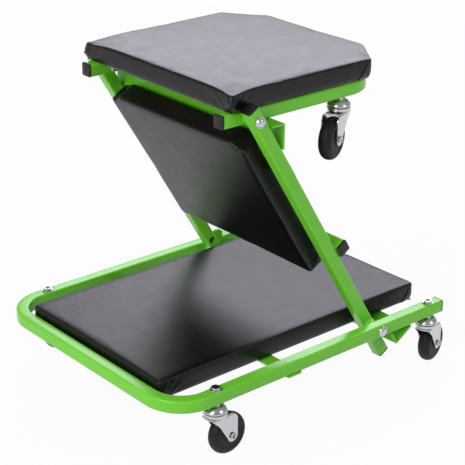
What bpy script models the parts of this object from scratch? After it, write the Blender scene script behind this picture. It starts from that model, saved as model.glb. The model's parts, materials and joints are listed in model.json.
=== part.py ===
"""Folding mechanic creeper that is also a stool: three square-tube frames on two pairs of hinge bolts.

The base frame stands on four swivel casters. The middle frame leans over it and rests on a stop angle,
and the seat frame rests on the middle frame by a second stop angle. Laid out flat, all three frames are
level and the seat's own two casters reach the floor. Metres, +Z up, floor at z = 0, +X from the base's
rounded end to its open end, left is +Y.
"""

import math

import bmesh
import bpy
from mathutils import Matrix, Vector

# Square steel tube
TUBE = 0.020
TUBE_WALL = 0.0015
TUBE_ROUND = 0.0025
BEND_RADIUS = 0.054
NEST_GAP = 0.0073

# Fits
TOUCH = 0.0003
RUN = 0.0003

# Frames and their linkage, measured from the base's open end or from a pivot
BASE_WIDTH = 0.430
BASE_LENGTH = 0.535
PIVOT_INSET = 0.1325
PIVOT_SPACING = 0.4407
LEAN = math.radians(58.2)
RAIL_TOP = 0.0205
RAIL_FOOT = 0.0675
SEAT_BACK = 0.0395
SEAT_FRONT = 0.2645
CROSS_TUBE = 0.1603
ACCESS_HOLE = 0.0290
ACCESS_DIAMETER = 0.0120

# Stop angles: the flange that meets the other frame, and the sheet
STOP_FLANGE = 0.038
STOP_SHEET = 0.0025
STOP_CLEAR = 0.0006

# Flat strips and tabs that carry the boards
STRIP_WIDTH = 0.025
STRIP_SHEET = 0.003
BASE_STRIP = 0.2228
MID_STRIP_TOP_GAP = 0.066
MID_STRIP_LAP = 0.012
TAB_SPREAD = 0.160
TAB_LAP = 0.030

# Plastic tube caps
CAP_PLATE = 0.0025
CAP_PLUG = 0.012
CAP_EDGE = 0.0006

# Hinge bolts, nuts and collars
BOLT = 0.008
BOLT_HEAD = 0.017
BOLT_HEAD_HEIGHT = 0.0048
NUT_FLATS = 0.013
NUT_HEIGHT = 0.0065
BOLT_END = 0.0020
COLLAR = 0.018

# Lug behind the left rail, just above the base's leg
LUG_WIDTH = 0.021
LUG_SHEET = 0.005
LUG_UP = 0.020
LUG_BACK = 0.017

# Pads: a board wrapped by foam and vinyl
BOARD = 0.009
PAD_EDGE = 0.031
MID_PAD_EDGE = 0.0355
PAD_WRAP = 0.004
PAD_TUCK = 0.0025
PAD_DRAW = 0.0015
DRAW_SPAN = 0.250
PAD_ROLL = 0.007
PAD_CROWN = 0.0035
SEAT_CROWN = 0.006
PAD_CORNER = 0.006
CROWN_SPREAD = 0.85
SEAT_CHAMFER_X = 0.046
SEAT_CHAMFER_Y = 0.062

# Gaps from the pads to the frames: beside the rails, at the ends, and from the pivots
MID_PAD_SIDE_GAP = 0.0147
BASE_PAD_SIDE_GAP = 0.0112
SEAT_SIDE_GAP = 0.0017
BASE_PAD_FRONT_GAP = 0.0015
BASE_PAD_BACK_GAP = 0.0025
MID_PAD_FOOT_GAP = 0.134
MID_PAD_TOP_GAP = 0.0445
SEAT_PAD_BACK_GAP = 0.007
SEAT_PAD_OVERHANG = 0.012

# Swivel casters
WHEEL_CLEAR = 0.0038
FRONT_CASTER = 0.0812
BACK_CASTER = 0.0228
SEAT_CASTER = 0.1826
CASTER_TRAIL = 0.0217
WHEEL_DIAMETER = 0.063
WHEEL_WIDTH = 0.022
WHEEL_SHOULDER = 0.006
WHEEL_DISH = 0.0012
HUB_DIAMETER = 0.018
HUB_PROUD = 0.0007
AXLE = 0.006
AXLE_HEAD = 0.0105
AXLE_HEAD_HEIGHT = 0.0022
FORK_SHEET = 0.002
FORK_EAR = 0.0093
FORK_FRONT = 0.008
FORK_SHOULDER = 0.006
RACE_DIAMETER = 0.0345
RACE_HEIGHT = 0.0052
DOME_HEIGHT = 0.0097
KING_PIN = 0.010
KING_HEAD = 0.015
KING_HEAD_HEIGHT = 0.0022
STEM = 0.008
STEM_NUT_FLATS = 0.014
STEM_NUT_HEIGHT = 0.0030
TOP_NUT_HEIGHT = 0.0034
WASHER = 0.017
WASHER_HEIGHT = 0.0014
STEM_END = 0.0006
INNER_NUT = 0.0145

# How each caster has swivelled at rest, its trail measured from +X towards the far side
FRONT_RIGHT_TURN = math.radians(2.5)
FRONT_LEFT_TURN = math.radians(-10)
BACK_TURN = math.radians(17.5)
SEAT_TURN = math.radians(-157.5)

# Facets
ROUND = 12
WHEEL_FACETS = 20
BEND_FACETS = 8
CORNER_FACETS = 1
PAD_CORNER_FACETS = 3
PAD_EDGE_FACETS = 3
CROWN_RINGS = 4
EAR_FACETS = 5
AXLE_FACETS = 8

# Worked out from the sizes above
SIDES = (("right", -1), ("left", 1))
HALF_TUBE = TUBE / 2
BORE = TUBE - 2 * TUBE_WALL
BORE_ROUND = max(TUBE_ROUND - TUBE_WALL, TUBE_WALL / 2)
NEST_PITCH = TUBE + NEST_GAP
BASE_Y = BASE_WIDTH / 2 - HALF_TUBE
RAIL_Y = BASE_Y - NEST_PITCH
SEAT_Y = RAIL_Y - NEST_PITCH
RAIL_INSIDE = RAIL_Y - HALF_TUBE
LOWER_PIVOT = BASE_LENGTH - PIVOT_INSET
BASE_PAD_START = TUBE + BASE_PAD_FRONT_GAP
BASE_PAD_END = BASE_LENGTH - BASE_PAD_BACK_GAP
MID_PAD_END = PIVOT_SPACING - MID_PAD_TOP_GAP
MID_STRIP = MID_PAD_END - MID_STRIP_TOP_GAP
MID_PAD_WIDTH = 2 * (RAIL_INSIDE - MID_PAD_SIDE_GAP)
BASE_PAD_WIDTH = 2 * (RAIL_INSIDE - BASE_PAD_SIDE_GAP)
SEAT_PAD_WIDTH = 2 * (RAIL_INSIDE - SEAT_SIDE_GAP)
SEAT_PAD_BACK = SEAT_BACK - SEAT_PAD_BACK_GAP
SEAT_PAD_FRONT = SEAT_FRONT + SEAT_PAD_OVERHANG
WHEEL_R = WHEEL_DIAMETER / 2
FORK_INSIDE = WHEEL_WIDTH / 2 + HUB_PROUD + RUN
FORK_OUTSIDE = FORK_INSIDE + FORK_SHEET
DOME_TOP = TOUCH + STEM_NUT_HEIGHT
RACE_TOP = DOME_TOP + DOME_HEIGHT + RUN
CROWN_TOP = RACE_TOP + RACE_HEIGHT
CROWN_BOTTOM = CROWN_TOP + FORK_SHEET
CASTER_HEIGHT = CROWN_BOTTOM + WHEEL_CLEAR + WHEEL_DIAMETER
UNDERSIDE = CASTER_HEIGHT
PIVOT_Z = UNDERSIDE + HALF_TUBE
BOLT_GRIP = 2 * TUBE + NEST_GAP
# A stop flange's edge meets the tube it stops on when the middle frame stands at LEAN
STOP_SEAT = HALF_TUBE + TOUCH
STOP_EDGE = (STOP_SEAT + (STOP_SEAT + STOP_FLANGE) * math.cos(LEAN)) / math.sin(LEAN)
STOP_REACH = STOP_EDGE + STOP_SHEET
STOP_LAP = (STOP_SEAT + (STOP_SEAT + STOP_SHEET) * math.cos(LEAN)) / math.sin(LEAN) + STOP_CLEAR


def clear_scene():
    for old in list(bpy.data.objects):
        bpy.data.objects.remove(old)


def finish(name, colour, roughness, metallic):
    material = bpy.data.materials.new(name)
    material.use_nodes = True
    shader = material.node_tree.nodes["Principled BSDF"]
    shader.inputs["Base Color"].default_value = (*colour, 1)
    shader.inputs["Roughness"].default_value = roughness
    shader.inputs["Metallic"].default_value = metallic
    material.diffuse_color = (*colour, 1)
    return material


def finishes():
    return {
        "paint": finish("green_powder_coat", (0.13, 0.54, 0.05), 0.3, 0),
        "vinyl": finish("black_vinyl", (0.012, 0.012, 0.014), 0.42, 0),
        "board": finish("plywood", (0.42, 0.28, 0.15), 0.7, 0),
        "zinc": finish("zinc_plated_steel", (0.72, 0.73, 0.74), 0.25, 1),
        "plastic": finish("black_plastic", (0.03, 0.028, 0.03), 0.5, 0),
        "wheel": finish("black_wheel_rubber", (0.018, 0.018, 0.018), 0.6, 0),
    }


def empty(name, parent, location, rotation=(0, 0, 0)):
    holder = bpy.data.objects.new(name, None)
    bpy.context.scene.collection.objects.link(holder)
    holder.parent = parent
    holder.location = location
    holder.rotation_euler = rotation
    return holder


def place(name, mesh, material, parent, location=(0, 0, 0), rotation=(0, 0, 0)):
    """One named piece, carried by its frame's empty."""
    piece = bpy.data.objects.new(name, mesh)
    bpy.context.scene.collection.objects.link(piece)
    piece.parent = parent
    piece.location = location
    piece.rotation_euler = rotation
    if not mesh.materials:
        mesh.materials.append(material)
    return piece


def mesh_from(bm, smooth_angle=math.radians(35)):
    bmesh.ops.recalc_face_normals(bm, faces=bm.faces)
    mesh = bpy.data.meshes.new("piece")
    bm.to_mesh(mesh)
    bm.free()
    mesh.shade_smooth()
    mesh.set_sharp_from_angle(angle=smooth_angle)
    return mesh


def bridge(bm, first, second):
    count = len(first)
    for i in range(count):
        j = (i + 1) % count
        bm.faces.new((first[i], first[j], second[j], second[i]))


def loft(loops):
    """A closed solid through loops of equally many points, with flat ends."""
    bm = bmesh.new()
    rings = [[bm.verts.new(point) for point in loop] for loop in loops]
    for first, second in zip(rings, rings[1:]):
        bridge(bm, first, second)
    bm.faces.new(rings[0])
    bm.faces.new(rings[-1])
    return mesh_from(bm)


def circle(radius, count):
    """Points on a circle, the first of them along +X."""
    turns = [2 * math.pi * i / count for i in range(count)]
    return [(radius * math.cos(turn), radius * math.sin(turn)) for turn in turns]


def hexagon(flats):
    """A hexagon as twelve points: its corners and the middles of its flats."""
    corner = flats / 2 / math.cos(math.pi / 6)
    radii = [corner if i % 2 == 0 else flats / 2 for i in range(ROUND)]
    turns = [2 * math.pi * i / ROUND for i in range(ROUND)]
    return [(r * math.cos(turn), r * math.sin(turn)) for r, turn in zip(radii, turns)]


def rounded_square(side, radius):
    """A square with rounded corners, counter-clockwise."""
    points = []
    for quarter in range(4):
        start = quarter * math.pi / 2
        centre = Matrix.Rotation(start, 2) @ Vector((side / 2 - radius, side / 2 - radius))
        for step in range(CORNER_FACETS + 1):
            turn = start + step * math.pi / 2 / CORNER_FACETS
            points.append((centre.x + radius * math.cos(turn), centre.y + radius * math.sin(turn)))
    return points


def stack(levels):
    """A turned or prismatic solid along Z: each level is a height and the outline there."""
    return loft([[(x, y, z) for x, y in outline] for z, outline in levels])


def rod(radius, low, high, count=ROUND):
    return stack([(low, circle(radius, count)), (high, circle(radius, count))])


def prism(outline, low, high):
    """A flat outline in X and Z, drawn out along Y."""
    return loft([[(x, y, z) for x, z in outline] for y in (low, high)])


def box(low, high):
    outline = [(low[0], low[2]), (high[0], low[2]), (high[0], high[2]), (low[0], high[2])]
    return prism(outline, low[1], high[1])


def moved(mesh, matrix):
    copy = mesh.copy()
    copy.transform(matrix)
    return copy


def combined(mesh, tools, operation):
    """The mesh with every tool joined to it or cut out of it."""
    collection = bpy.context.scene.collection
    host = bpy.data.objects.new("host", mesh)
    helpers = [bpy.data.objects.new("tool", tool) for tool in tools]
    for helper in [host, *helpers]:
        collection.objects.link(helper)
    for helper in helpers:
        modifier = host.modifiers.new("combine", "BOOLEAN")
        modifier.operation = operation
        modifier.solver = "EXACT"
        modifier.object = helper
    bpy.context.view_layer.update()
    graph = bpy.context.evaluated_depsgraph_get()
    result = bpy.data.meshes.new_from_object(host.evaluated_get(graph))
    for helper in [host, *helpers]:
        bpy.data.objects.remove(helper)
    result.shade_smooth()
    result.set_sharp_from_angle(angle=math.radians(35))
    return result


def tube_sweep(path):
    """Hollow square tube along a level path of points, each with its sideways direction."""
    bm = bmesh.new()
    sections = (rounded_square(TUBE, TUBE_ROUND), rounded_square(BORE, BORE_ROUND))
    skins = []
    for section in sections:
        rings = []
        for point, sideways in path:
            rings.append([bm.verts.new(point + sideways * a + Vector((0, 0, b))) for a, b in section])
        for first, second in zip(rings, rings[1:]):
            bridge(bm, first, second)
        skins.append(rings)
    for end in (0, -1):
        bridge(bm, skins[0][end], skins[1][end])
    return mesh_from(bm)


def bent_frame(width, length):
    """A U of tube: the rounded end's outer face at x = 0, the legs' open ends at x = length."""
    y = width / 2 - HALF_TUBE
    bend_x = HALF_TUBE + BEND_RADIUS
    path = [(Vector((length, -y, 0)), Vector((0, -1, 0)))]
    for side, start in ((-1, -math.pi / 2), (1, -math.pi)):
        for step in range(BEND_FACETS + 1):
            turn = start - step * math.pi / 2 / BEND_FACETS
            outward = Vector((math.cos(turn), math.sin(turn), 0))
            path.append((Vector((bend_x, side * (y - BEND_RADIUS), 0)) + BEND_RADIUS * outward, outward))
    path.append((Vector((length, y, 0)), Vector((0, 1, 0))))
    return tube_sweep(path)


def straight_tube(length):
    """Tube along Z from z = 0 to z = length."""
    level = tube_sweep([(Vector((x, 0, 0)), Vector((0, 1, 0))) for x in (0, length)])
    level.transform(Matrix.Rotation(-math.pi / 2, 4, "Y"))
    return level


def across(x, z, radius, low, high):
    """A round cutter along Y."""
    cutter = rod(radius, low, high)
    cutter.transform(Matrix.Translation((x, 0, z)) @ Matrix.Rotation(-math.pi / 2, 4, "X"))
    return cutter


def upright(x, y, radius, low, high):
    """A round cutter along Z."""
    return moved(rod(radius, low, high), Matrix.Translation((x, y, 0)))


def tube_cap():
    """Plug and plate, with the tube's end at z = 0 and the plate outwards along +Z."""
    plug = rounded_square(BORE - 2 * RUN, BORE_ROUND)
    plate = rounded_square(TUBE, TUBE_ROUND)
    top = rounded_square(TUBE - 2 * CAP_EDGE, TUBE_ROUND)
    high = TOUCH + CAP_PLATE
    return stack([(-CAP_PLUG, plug), (TOUCH, plug), (TOUCH, plate), (high - CAP_EDGE, plate), (high, top)])


def stop_angle(half_length):
    """Angle bar along Y: one flange laps the underside of the tube, the other hangs from its far edge."""
    top = -STOP_SEAT
    outline = [
        (STOP_LAP, top),
        (STOP_REACH, top),
        (STOP_REACH, top - STOP_FLANGE),
        (STOP_REACH - STOP_SHEET, top - STOP_FLANGE),
        (STOP_REACH - STOP_SHEET, top - STOP_SHEET),
        (STOP_LAP, top - STOP_SHEET),
    ]
    return prism(outline, -half_length, half_length)


def hinge_bolt():
    """Dome-headed bolt along Z: the head sits on the outer tube, the shank runs down through both tubes."""
    end = -(BOLT_GRIP + TOUCH + NUT_HEIGHT + BOLT_END)
    shank = circle(BOLT / 2, ROUND)
    head = circle(BOLT_HEAD / 2, ROUND)
    levels = [(end, shank), (TOUCH, shank), (TOUCH, head), (TOUCH + BOLT_HEAD_HEIGHT / 3, head)]
    levels.append((TOUCH + BOLT_HEAD_HEIGHT, circle(0.55 * BOLT_HEAD / 2, ROUND)))
    return stack(levels)


def hinge_nut():
    """Hexagon nut hanging from the inner tube's inner face, on the bolt's axis."""
    top = -(BOLT_GRIP + TOUCH)
    body = stack([(top - NUT_HEIGHT, hexagon(NUT_FLATS)), (top, hexagon(NUT_FLATS))])
    bore = rod(BOLT / 2 + RUN, top - 2 * NUT_HEIGHT, top + NUT_HEIGHT)
    return combined(body, [bore], "DIFFERENCE")


def turned_out(side):
    """Rotation that points a piece's +Z out to one side."""
    return (math.pi / 2 * -side, 0, 0)


def lug():
    """Round-ended tab that stands on the back of a rail."""
    root, radius = HALF_TUBE - TUBE_WALL / 2, LUG_WIDTH / 2
    outline = [(root, LUG_UP - radius)]
    for step in range(EAR_FACETS + 1):
        turn = math.pi * (step / EAR_FACETS - 1 / 2)
        outline.append((LUG_BACK + radius * math.cos(turn), LUG_UP + radius * math.sin(turn)))
    outline.append((root, LUG_UP + radius))
    return prism(outline, -LUG_SHEET / 2, LUG_SHEET / 2)


def mid_rail(side):
    """Middle frame's side tube: u along Z from the lower pivot, with its spacing collars and holes."""
    rail = straight_tube(RAIL_FOOT + PIVOT_SPACING + RAIL_TOP)
    rail.transform(Matrix.Translation((0, 0, -RAIL_FOOT)))
    root, tip = HALF_TUBE - TUBE_WALL / 2, HALF_TUBE + NEST_GAP - TOUCH
    outer = sorted((side * root, side * tip))
    inner = sorted((-side * root, -side * tip))
    collars = [across(0, 0, COLLAR / 2, *outer), across(0, PIVOT_SPACING, COLLAR / 2, *inner)]
    rail = combined(rail, collars + [lug()] if side > 0 else collars, "UNION")
    pin = BOLT / 2 + RUN
    holes = [across(0, z, pin, -NEST_PITCH, NEST_PITCH) for z in (0, PIVOT_SPACING)]
    holes.append(across(0, ACCESS_HOLE, ACCESS_DIAMETER / 2, *sorted((0, -side * TUBE))))
    return combined(rail, holes, "DIFFERENCE")


def pad_outline(corners, inset, draw, corner_radius):
    """A convex outline moved inwards, with rounded corners and sides drawn in between them."""
    count = len(corners)
    points = [Vector(corner) for corner in corners]
    along = [(points[(i + 1) % count] - points[i]).normalized() for i in range(count)]
    inward = [Vector((-d.y, d.x)) for d in along]
    radius = max(corner_radius - inset, corner_radius / 4)
    starts, arcs = [], []
    for i in range(count):
        turn = along[i - 1].angle_signed(along[i]) * -1
        lean = (inward[i - 1] + inward[i]).normalized()
        vertex = points[i] + lean * (inset / lean.dot(inward[i]))
        centre = vertex + lean * (radius / lean.dot(inward[i]))
        first = math.atan2(-inward[i - 1].y, -inward[i - 1].x)
        arc = []
        for step in range(PAD_CORNER_FACETS + 1):
            angle = first + turn * step / PAD_CORNER_FACETS
            arc.append(centre + radius * Vector((math.cos(angle), math.sin(angle))))
        arcs.append(arc)
        starts.append(arc[0])
    outline = []
    for i in range(count):
        outline.extend(arcs[i])
        first, last = arcs[i][-1], starts[(i + 1) % count]
        pull = draw * min(1, (last - first).length / DRAW_SPAN)
        for step in range(1, PAD_EDGE_FACETS + 1):
            share = step / (PAD_EDGE_FACETS + 1)
            outline.append(first.lerp(last, share) + inward[i] * pull * 4 * share * (1 - share))
    return [(p.x, p.y) for p in outline]


def cushion(corners, edge, crown):
    """Foam and vinyl over a board: a pocket below for it, drawn-in sides, rolled edges and a crowned top."""
    # Each step up the side: how far in from the outline, how high, and how much of the draw
    sides = [(PAD_WRAP, BOARD + TOUCH, 0), (PAD_WRAP, 0, 0), (PAD_TUCK, 0, 0)]
    sides += [(0.4 * PAD_TUCK, PAD_TUCK, 0.5), (0, (edge - PAD_ROLL) / 2, 1)]
    for step in range(4):
        turn = step * math.pi / 6
        sides.append((PAD_ROLL * (1 - math.cos(turn)), edge - PAD_ROLL * (1 - math.sin(turn)), 1))
    levels = [(z, pad_outline(corners, inset, draw * PAD_DRAW, PAD_CORNER)) for inset, z, draw in sides]
    rim = [Vector(point) for point in levels[-1][1]]
    middle = sum(rim, Vector((0, 0))) / len(rim)
    for step in range(1, CROWN_RINGS + 1):
        share = step / CROWN_RINGS
        ring = [middle + (point - middle) * (1 - CROWN_SPREAD * share) for point in rim]
        levels.append((edge + crown * (1 - (1 - share) ** 2), ring))
    return stack(levels)


def board(corners):
    """The plywood inside a pad."""
    outline = pad_outline(corners, PAD_WRAP + TOUCH, 0, PAD_CORNER)
    return stack([(0, outline), (BOARD, outline)])


def pad_corners(low_x, high_x, width):
    return [(low_x, -width / 2), (high_x, -width / 2), (high_x, width / 2), (low_x, width / 2)]


def seat_corners():
    """The seat's pad loses its two front corners."""
    half = SEAT_PAD_WIDTH / 2
    return [
        (-SEAT_PAD_BACK, -half),
        (SEAT_PAD_FRONT - SEAT_CHAMFER_X, -half),
        (SEAT_PAD_FRONT, SEAT_CHAMFER_Y - half),
        (SEAT_PAD_FRONT, half - SEAT_CHAMFER_Y),
        (SEAT_PAD_FRONT - SEAT_CHAMFER_X, half),
        (-SEAT_PAD_BACK, half),
    ]


def caster_stem(through):
    """Stem, lock nut, domed upper race and king pin. A through stem ends in a nut above the tube."""
    pin, stem = circle(KING_PIN / 2, ROUND), circle(STEM / 2, ROUND)
    lock = hexagon(STEM_NUT_FLATS)
    dome_bottom = DOME_TOP + DOME_HEIGHT
    head_top = CROWN_BOTTOM + RUN
    levels = [
        (-head_top - KING_HEAD_HEIGHT, circle(0.8 * KING_HEAD / 2, ROUND)),
        (-head_top, circle(KING_HEAD / 2, ROUND)),
        (-head_top, pin),
        (-dome_bottom, pin),
        (-dome_bottom, circle(RACE_DIAMETER / 2, ROUND)),
        (-dome_bottom + DOME_HEIGHT / 3, circle(RACE_DIAMETER / 2, ROUND)),
        (-DOME_TOP, circle((RACE_DIAMETER + STEM_NUT_FLATS) / 4, ROUND)),
        (-DOME_TOP, lock),
        (-TOUCH, lock),
        (-TOUCH, stem),
    ]
    if through:
        washer, nut = circle(WASHER / 2, ROUND), hexagon(NUT_FLATS)
        washer_low = TUBE + TOUCH
        nut_low = washer_low + WASHER_HEIGHT
        levels += [(washer_low, stem), (washer_low, washer), (nut_low, washer)]
    else:
        nut = circle(INNER_NUT / 2, ROUND)
        nut_low = TUBE_WALL + TOUCH
        levels.append((nut_low, stem))
    nut_high = nut_low + TOP_NUT_HEIGHT
    levels += [(nut_low, nut), (nut_high, nut), (nut_high, stem), (nut_high + STEM_END, stem)]
    return stack(levels)


def fork_side():
    """One cheek of the fork in X and Z: straight behind, rounded at the axle, swept forward to the crown."""
    axle_z = WHEEL_R - CASTER_HEIGHT
    top = -CROWN_TOP - FORK_SHEET / 4
    shoulder = Vector((-FORK_FRONT, -CROWN_BOTTOM - FORK_SHOULDER))
    to_shoulder = shoulder - Vector((CASTER_TRAIL, axle_z))
    lean = math.atan2(to_shoulder.y, to_shoulder.x)
    tangent = lean + math.acos(FORK_EAR / to_shoulder.length)
    outline = [(-FORK_FRONT, top), (CASTER_TRAIL + FORK_EAR, top)]
    for step in range(EAR_FACETS + 1):
        turn = (tangent - 2 * math.pi) * step / EAR_FACETS
        outline.append((CASTER_TRAIL + FORK_EAR * math.cos(turn), axle_z + FORK_EAR * math.sin(turn)))
    outline.append((shoulder.x, shoulder.y))
    return outline


def caster_fork():
    """Pressed fork: lower race, crown and two cheeks, with holes for the king pin and the axle."""
    race = rod(RACE_DIAMETER / 2, -CROWN_BOTTOM, -RACE_TOP)
    back = CASTER_TRAIL + FORK_EAR - FORK_SHEET / 4
    side = FORK_OUTSIDE - FORK_SHEET / 4
    crown = box((0, -side, -CROWN_BOTTOM + FORK_SHEET / 8), (back, side, -CROWN_TOP))
    cheeks = [prism(fork_side(), *sorted((s * FORK_INSIDE, s * FORK_OUTSIDE))) for s in (-1, 1)]
    fork = combined(crown, [race, *cheeks], "UNION")
    king = rod(KING_PIN / 2 + RUN, -CASTER_HEIGHT, 0)
    axle = across(CASTER_TRAIL, WHEEL_R - CASTER_HEIGHT, AXLE / 2 + RUN, -WHEEL_DIAMETER, WHEEL_DIAMETER)
    return combined(fork, [king, axle], "DIFFERENCE")


def caster_axle():
    """Riveted axle along Z, a low dome on each end."""
    shank, head = circle(AXLE / 2, AXLE_FACETS), circle(AXLE_HEAD / 2, AXLE_FACETS)
    seat = FORK_OUTSIDE + TOUCH
    half = [(seat, shank), (seat, head), (seat + AXLE_HEAD_HEIGHT, circle(0.75 * AXLE_HEAD / 2, AXLE_FACETS))]
    return stack([(-z, outline) for z, outline in reversed(half)] + half)


def wheel_profile():
    """Half the wheel's section, as radius and height from its middle plane, from bore to tread."""
    half = WHEEL_WIDTH / 2
    return [
        (AXLE / 2 + RUN, half + HUB_PROUD),
        (HUB_DIAMETER / 2, half + HUB_PROUD),
        (WHEEL_R - WHEEL_SHOULDER, half - WHEEL_DISH),
        (WHEEL_R - 0.3 * WHEEL_SHOULDER, half - 0.3 * WHEEL_SHOULDER),
        (WHEEL_R, half - WHEEL_SHOULDER),
    ]


def caster_wheel():
    """Solid wheel turned about Z."""
    half = wheel_profile()
    profile = half + [(r, -z) for r, z in reversed(half)]
    bm = bmesh.new()
    rings = [[bm.verts.new((x, y, z)) for x, y in circle(r, WHEEL_FACETS)] for r, z in profile]
    for first, second in zip(rings, rings[1:] + rings[:1]):
        bridge(bm, first, second)
    return mesh_from(bm)


def wheel_reach(turn):
    """How far a wheel reaches along X past its axle's middle, when its trail has turned from +X."""
    return max(r * abs(math.cos(turn)) + z * abs(math.sin(turn)) for r, z in wheel_profile())


def build_base(looks, root):
    legs = bent_frame(BASE_WIDTH, BASE_LENGTH)
    tools = []
    for _, side in SIDES:
        outer = sorted((side * (BASE_Y - TUBE), side * (BASE_Y + TUBE)))
        tools.append(across(LOWER_PIVOT, 0, BOLT / 2 + RUN, *outer))
        for x in (FRONT_CASTER, BASE_LENGTH - BACK_CASTER):
            tools.append(upright(x, side * BASE_Y, STEM / 2 + RUN, -TUBE, TUBE))
    place("base_frame", combined(legs, tools, "DIFFERENCE"), looks["paint"], root, (0, 0, PIVOT_Z))
    cap = tube_cap()
    bolt, nut = hinge_bolt(), hinge_nut()
    strip_top = UNDERSIDE - TOUCH
    strip_low = strip_top - STRIP_SHEET
    half_strip, half_width = STRIP_WIDTH / 2, BASE_WIDTH / 2
    strip = box((-half_strip, -half_width, strip_low), (half_strip, half_width, strip_top))
    place("base_pad_strip", strip, looks["paint"], root, (BASE_STRIP, 0, 0))
    tab = box((HALF_TUBE, -half_strip, strip_low), (BASE_PAD_START + TAB_LAP, half_strip, strip_top))
    for name, side in SIDES:
        place(f"base_pad_tab_{name}", tab, looks["paint"], root, (0, side * TAB_SPREAD / 2, 0))
        end = (BASE_LENGTH, side * BASE_Y, PIVOT_Z)
        place(f"base_leg_cap_{name}", cap, looks["plastic"], root, end, (0, math.pi / 2, 0))
        at_pivot = (LOWER_PIVOT, side * half_width, PIVOT_Z)
        place(f"lower_bolt_{name}", bolt, looks["zinc"], root, at_pivot, turned_out(side))
        place(f"lower_nut_{name}", nut, looks["zinc"], root, at_pivot, turned_out(side))
    corners = pad_corners(BASE_PAD_START, BASE_PAD_END, BASE_PAD_WIDTH)
    place("base_board", board(corners), looks["board"], root, (0, 0, UNDERSIDE))
    place("base_cushion", cushion(corners, PAD_EDGE, PAD_CROWN), looks["vinyl"], root, (0, 0, UNDERSIDE))


def build_mid(looks, mid):
    """Middle frame in its own axes: Z from the lower pivot to the upper one, X out of its back."""
    cap = tube_cap()
    bolt, nut = hinge_bolt(), hinge_nut()
    rail_outside = RAIL_Y + HALF_TUBE
    for name, side in SIDES:
        place(f"mid_rail_{name}", mid_rail(side), looks["paint"], mid, (0, side * RAIL_Y, 0))
        top = (0, side * RAIL_Y, PIVOT_SPACING + RAIL_TOP)
        place(f"mid_top_cap_{name}", cap, looks["plastic"], mid, top)
        foot = (0, side * RAIL_Y, -RAIL_FOOT)
        place(f"mid_foot_cap_{name}", cap, looks["plastic"], mid, foot, (math.pi, 0, 0))
        at_pivot = (0, side * rail_outside, PIVOT_SPACING)
        place(f"upper_bolt_{name}", bolt, looks["zinc"], mid, at_pivot, turned_out(side))
        place(f"upper_nut_{name}", nut, looks["zinc"], mid, at_pivot, turned_out(side))
        end = (STOP_SEAT + HALF_TUBE, side * rail_outside, CROSS_TUBE)
        place(f"mid_cross_cap_{name}", cap, looks["plastic"], mid, end, turned_out(side))
    # Turned over its diagonal, the same angle laps the rails' backs below the lower pivot
    angle = moved(stop_angle(BASE_WIDTH / 2), Matrix.Rotation(math.pi, 4, Vector((1, 0, -1))))
    place("mid_stop_angle", angle, looks["paint"], mid)
    cross = moved(straight_tube(2 * rail_outside), Matrix.Rotation(-math.pi / 2, 4, "X"))
    place("mid_cross_tube", cross, looks["paint"], mid, (STOP_SEAT + HALF_TUBE, -rail_outside, CROSS_TUBE))
    half_strip = STRIP_WIDTH / 2
    lap = RAIL_INSIDE + MID_STRIP_LAP
    strip = box((STOP_SEAT, -lap, -half_strip), (STOP_SEAT + STRIP_SHEET, lap, half_strip))
    place("mid_pad_strip", strip, looks["paint"], mid, (0, 0, MID_STRIP))
    corners = pad_corners(MID_PAD_FOOT_GAP, MID_PAD_END, MID_PAD_WIDTH)
    # The pad is drawn level, then stood on end so that its top faces forward, away from +X
    stood = (0, -math.pi / 2, 0)
    place("mid_board", board(corners), looks["board"], mid, (HALF_TUBE, 0, 0), stood)
    place("mid_cushion", cushion(corners, MID_PAD_EDGE, PAD_CROWN), looks["vinyl"], mid, (HALF_TUBE, 0, 0), stood)


def build_seat(looks, seat):
    """Seat frame in its own axes: the upper pivot is its origin."""
    length = SEAT_BACK + SEAT_FRONT
    frame = bent_frame(2 * (SEAT_Y + HALF_TUBE), length)
    frame.transform(Matrix.Translation((SEAT_FRONT, 0, 0)) @ Matrix.Rotation(math.pi, 4, "Z"))
    tools = []
    cap = tube_cap()
    for name, side in SIDES:
        outer = sorted((side * (SEAT_Y - TUBE), side * (SEAT_Y + TUBE)))
        tools.append(across(0, 0, BOLT / 2 + RUN, *outer))
        tools.append(upright(SEAT_CASTER, side * SEAT_Y, STEM / 2 + RUN, -TUBE, 0))
        end = (-SEAT_BACK, side * SEAT_Y, 0)
        place(f"seat_leg_cap_{name}", cap, looks["plastic"], seat, end, (0, -math.pi / 2, 0))
    place("seat_frame", combined(frame, tools, "DIFFERENCE"), looks["paint"], seat)
    place("seat_stop_angle", stop_angle(RAIL_Y + HALF_TUBE), looks["paint"], seat)
    corners = seat_corners()
    place("seat_board", board(corners), looks["board"], seat, (0, 0, STOP_SEAT))
    place("seat_cushion", cushion(corners, PAD_EDGE, SEAT_CROWN), looks["vinyl"], seat, (0, 0, STOP_SEAT))


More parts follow.
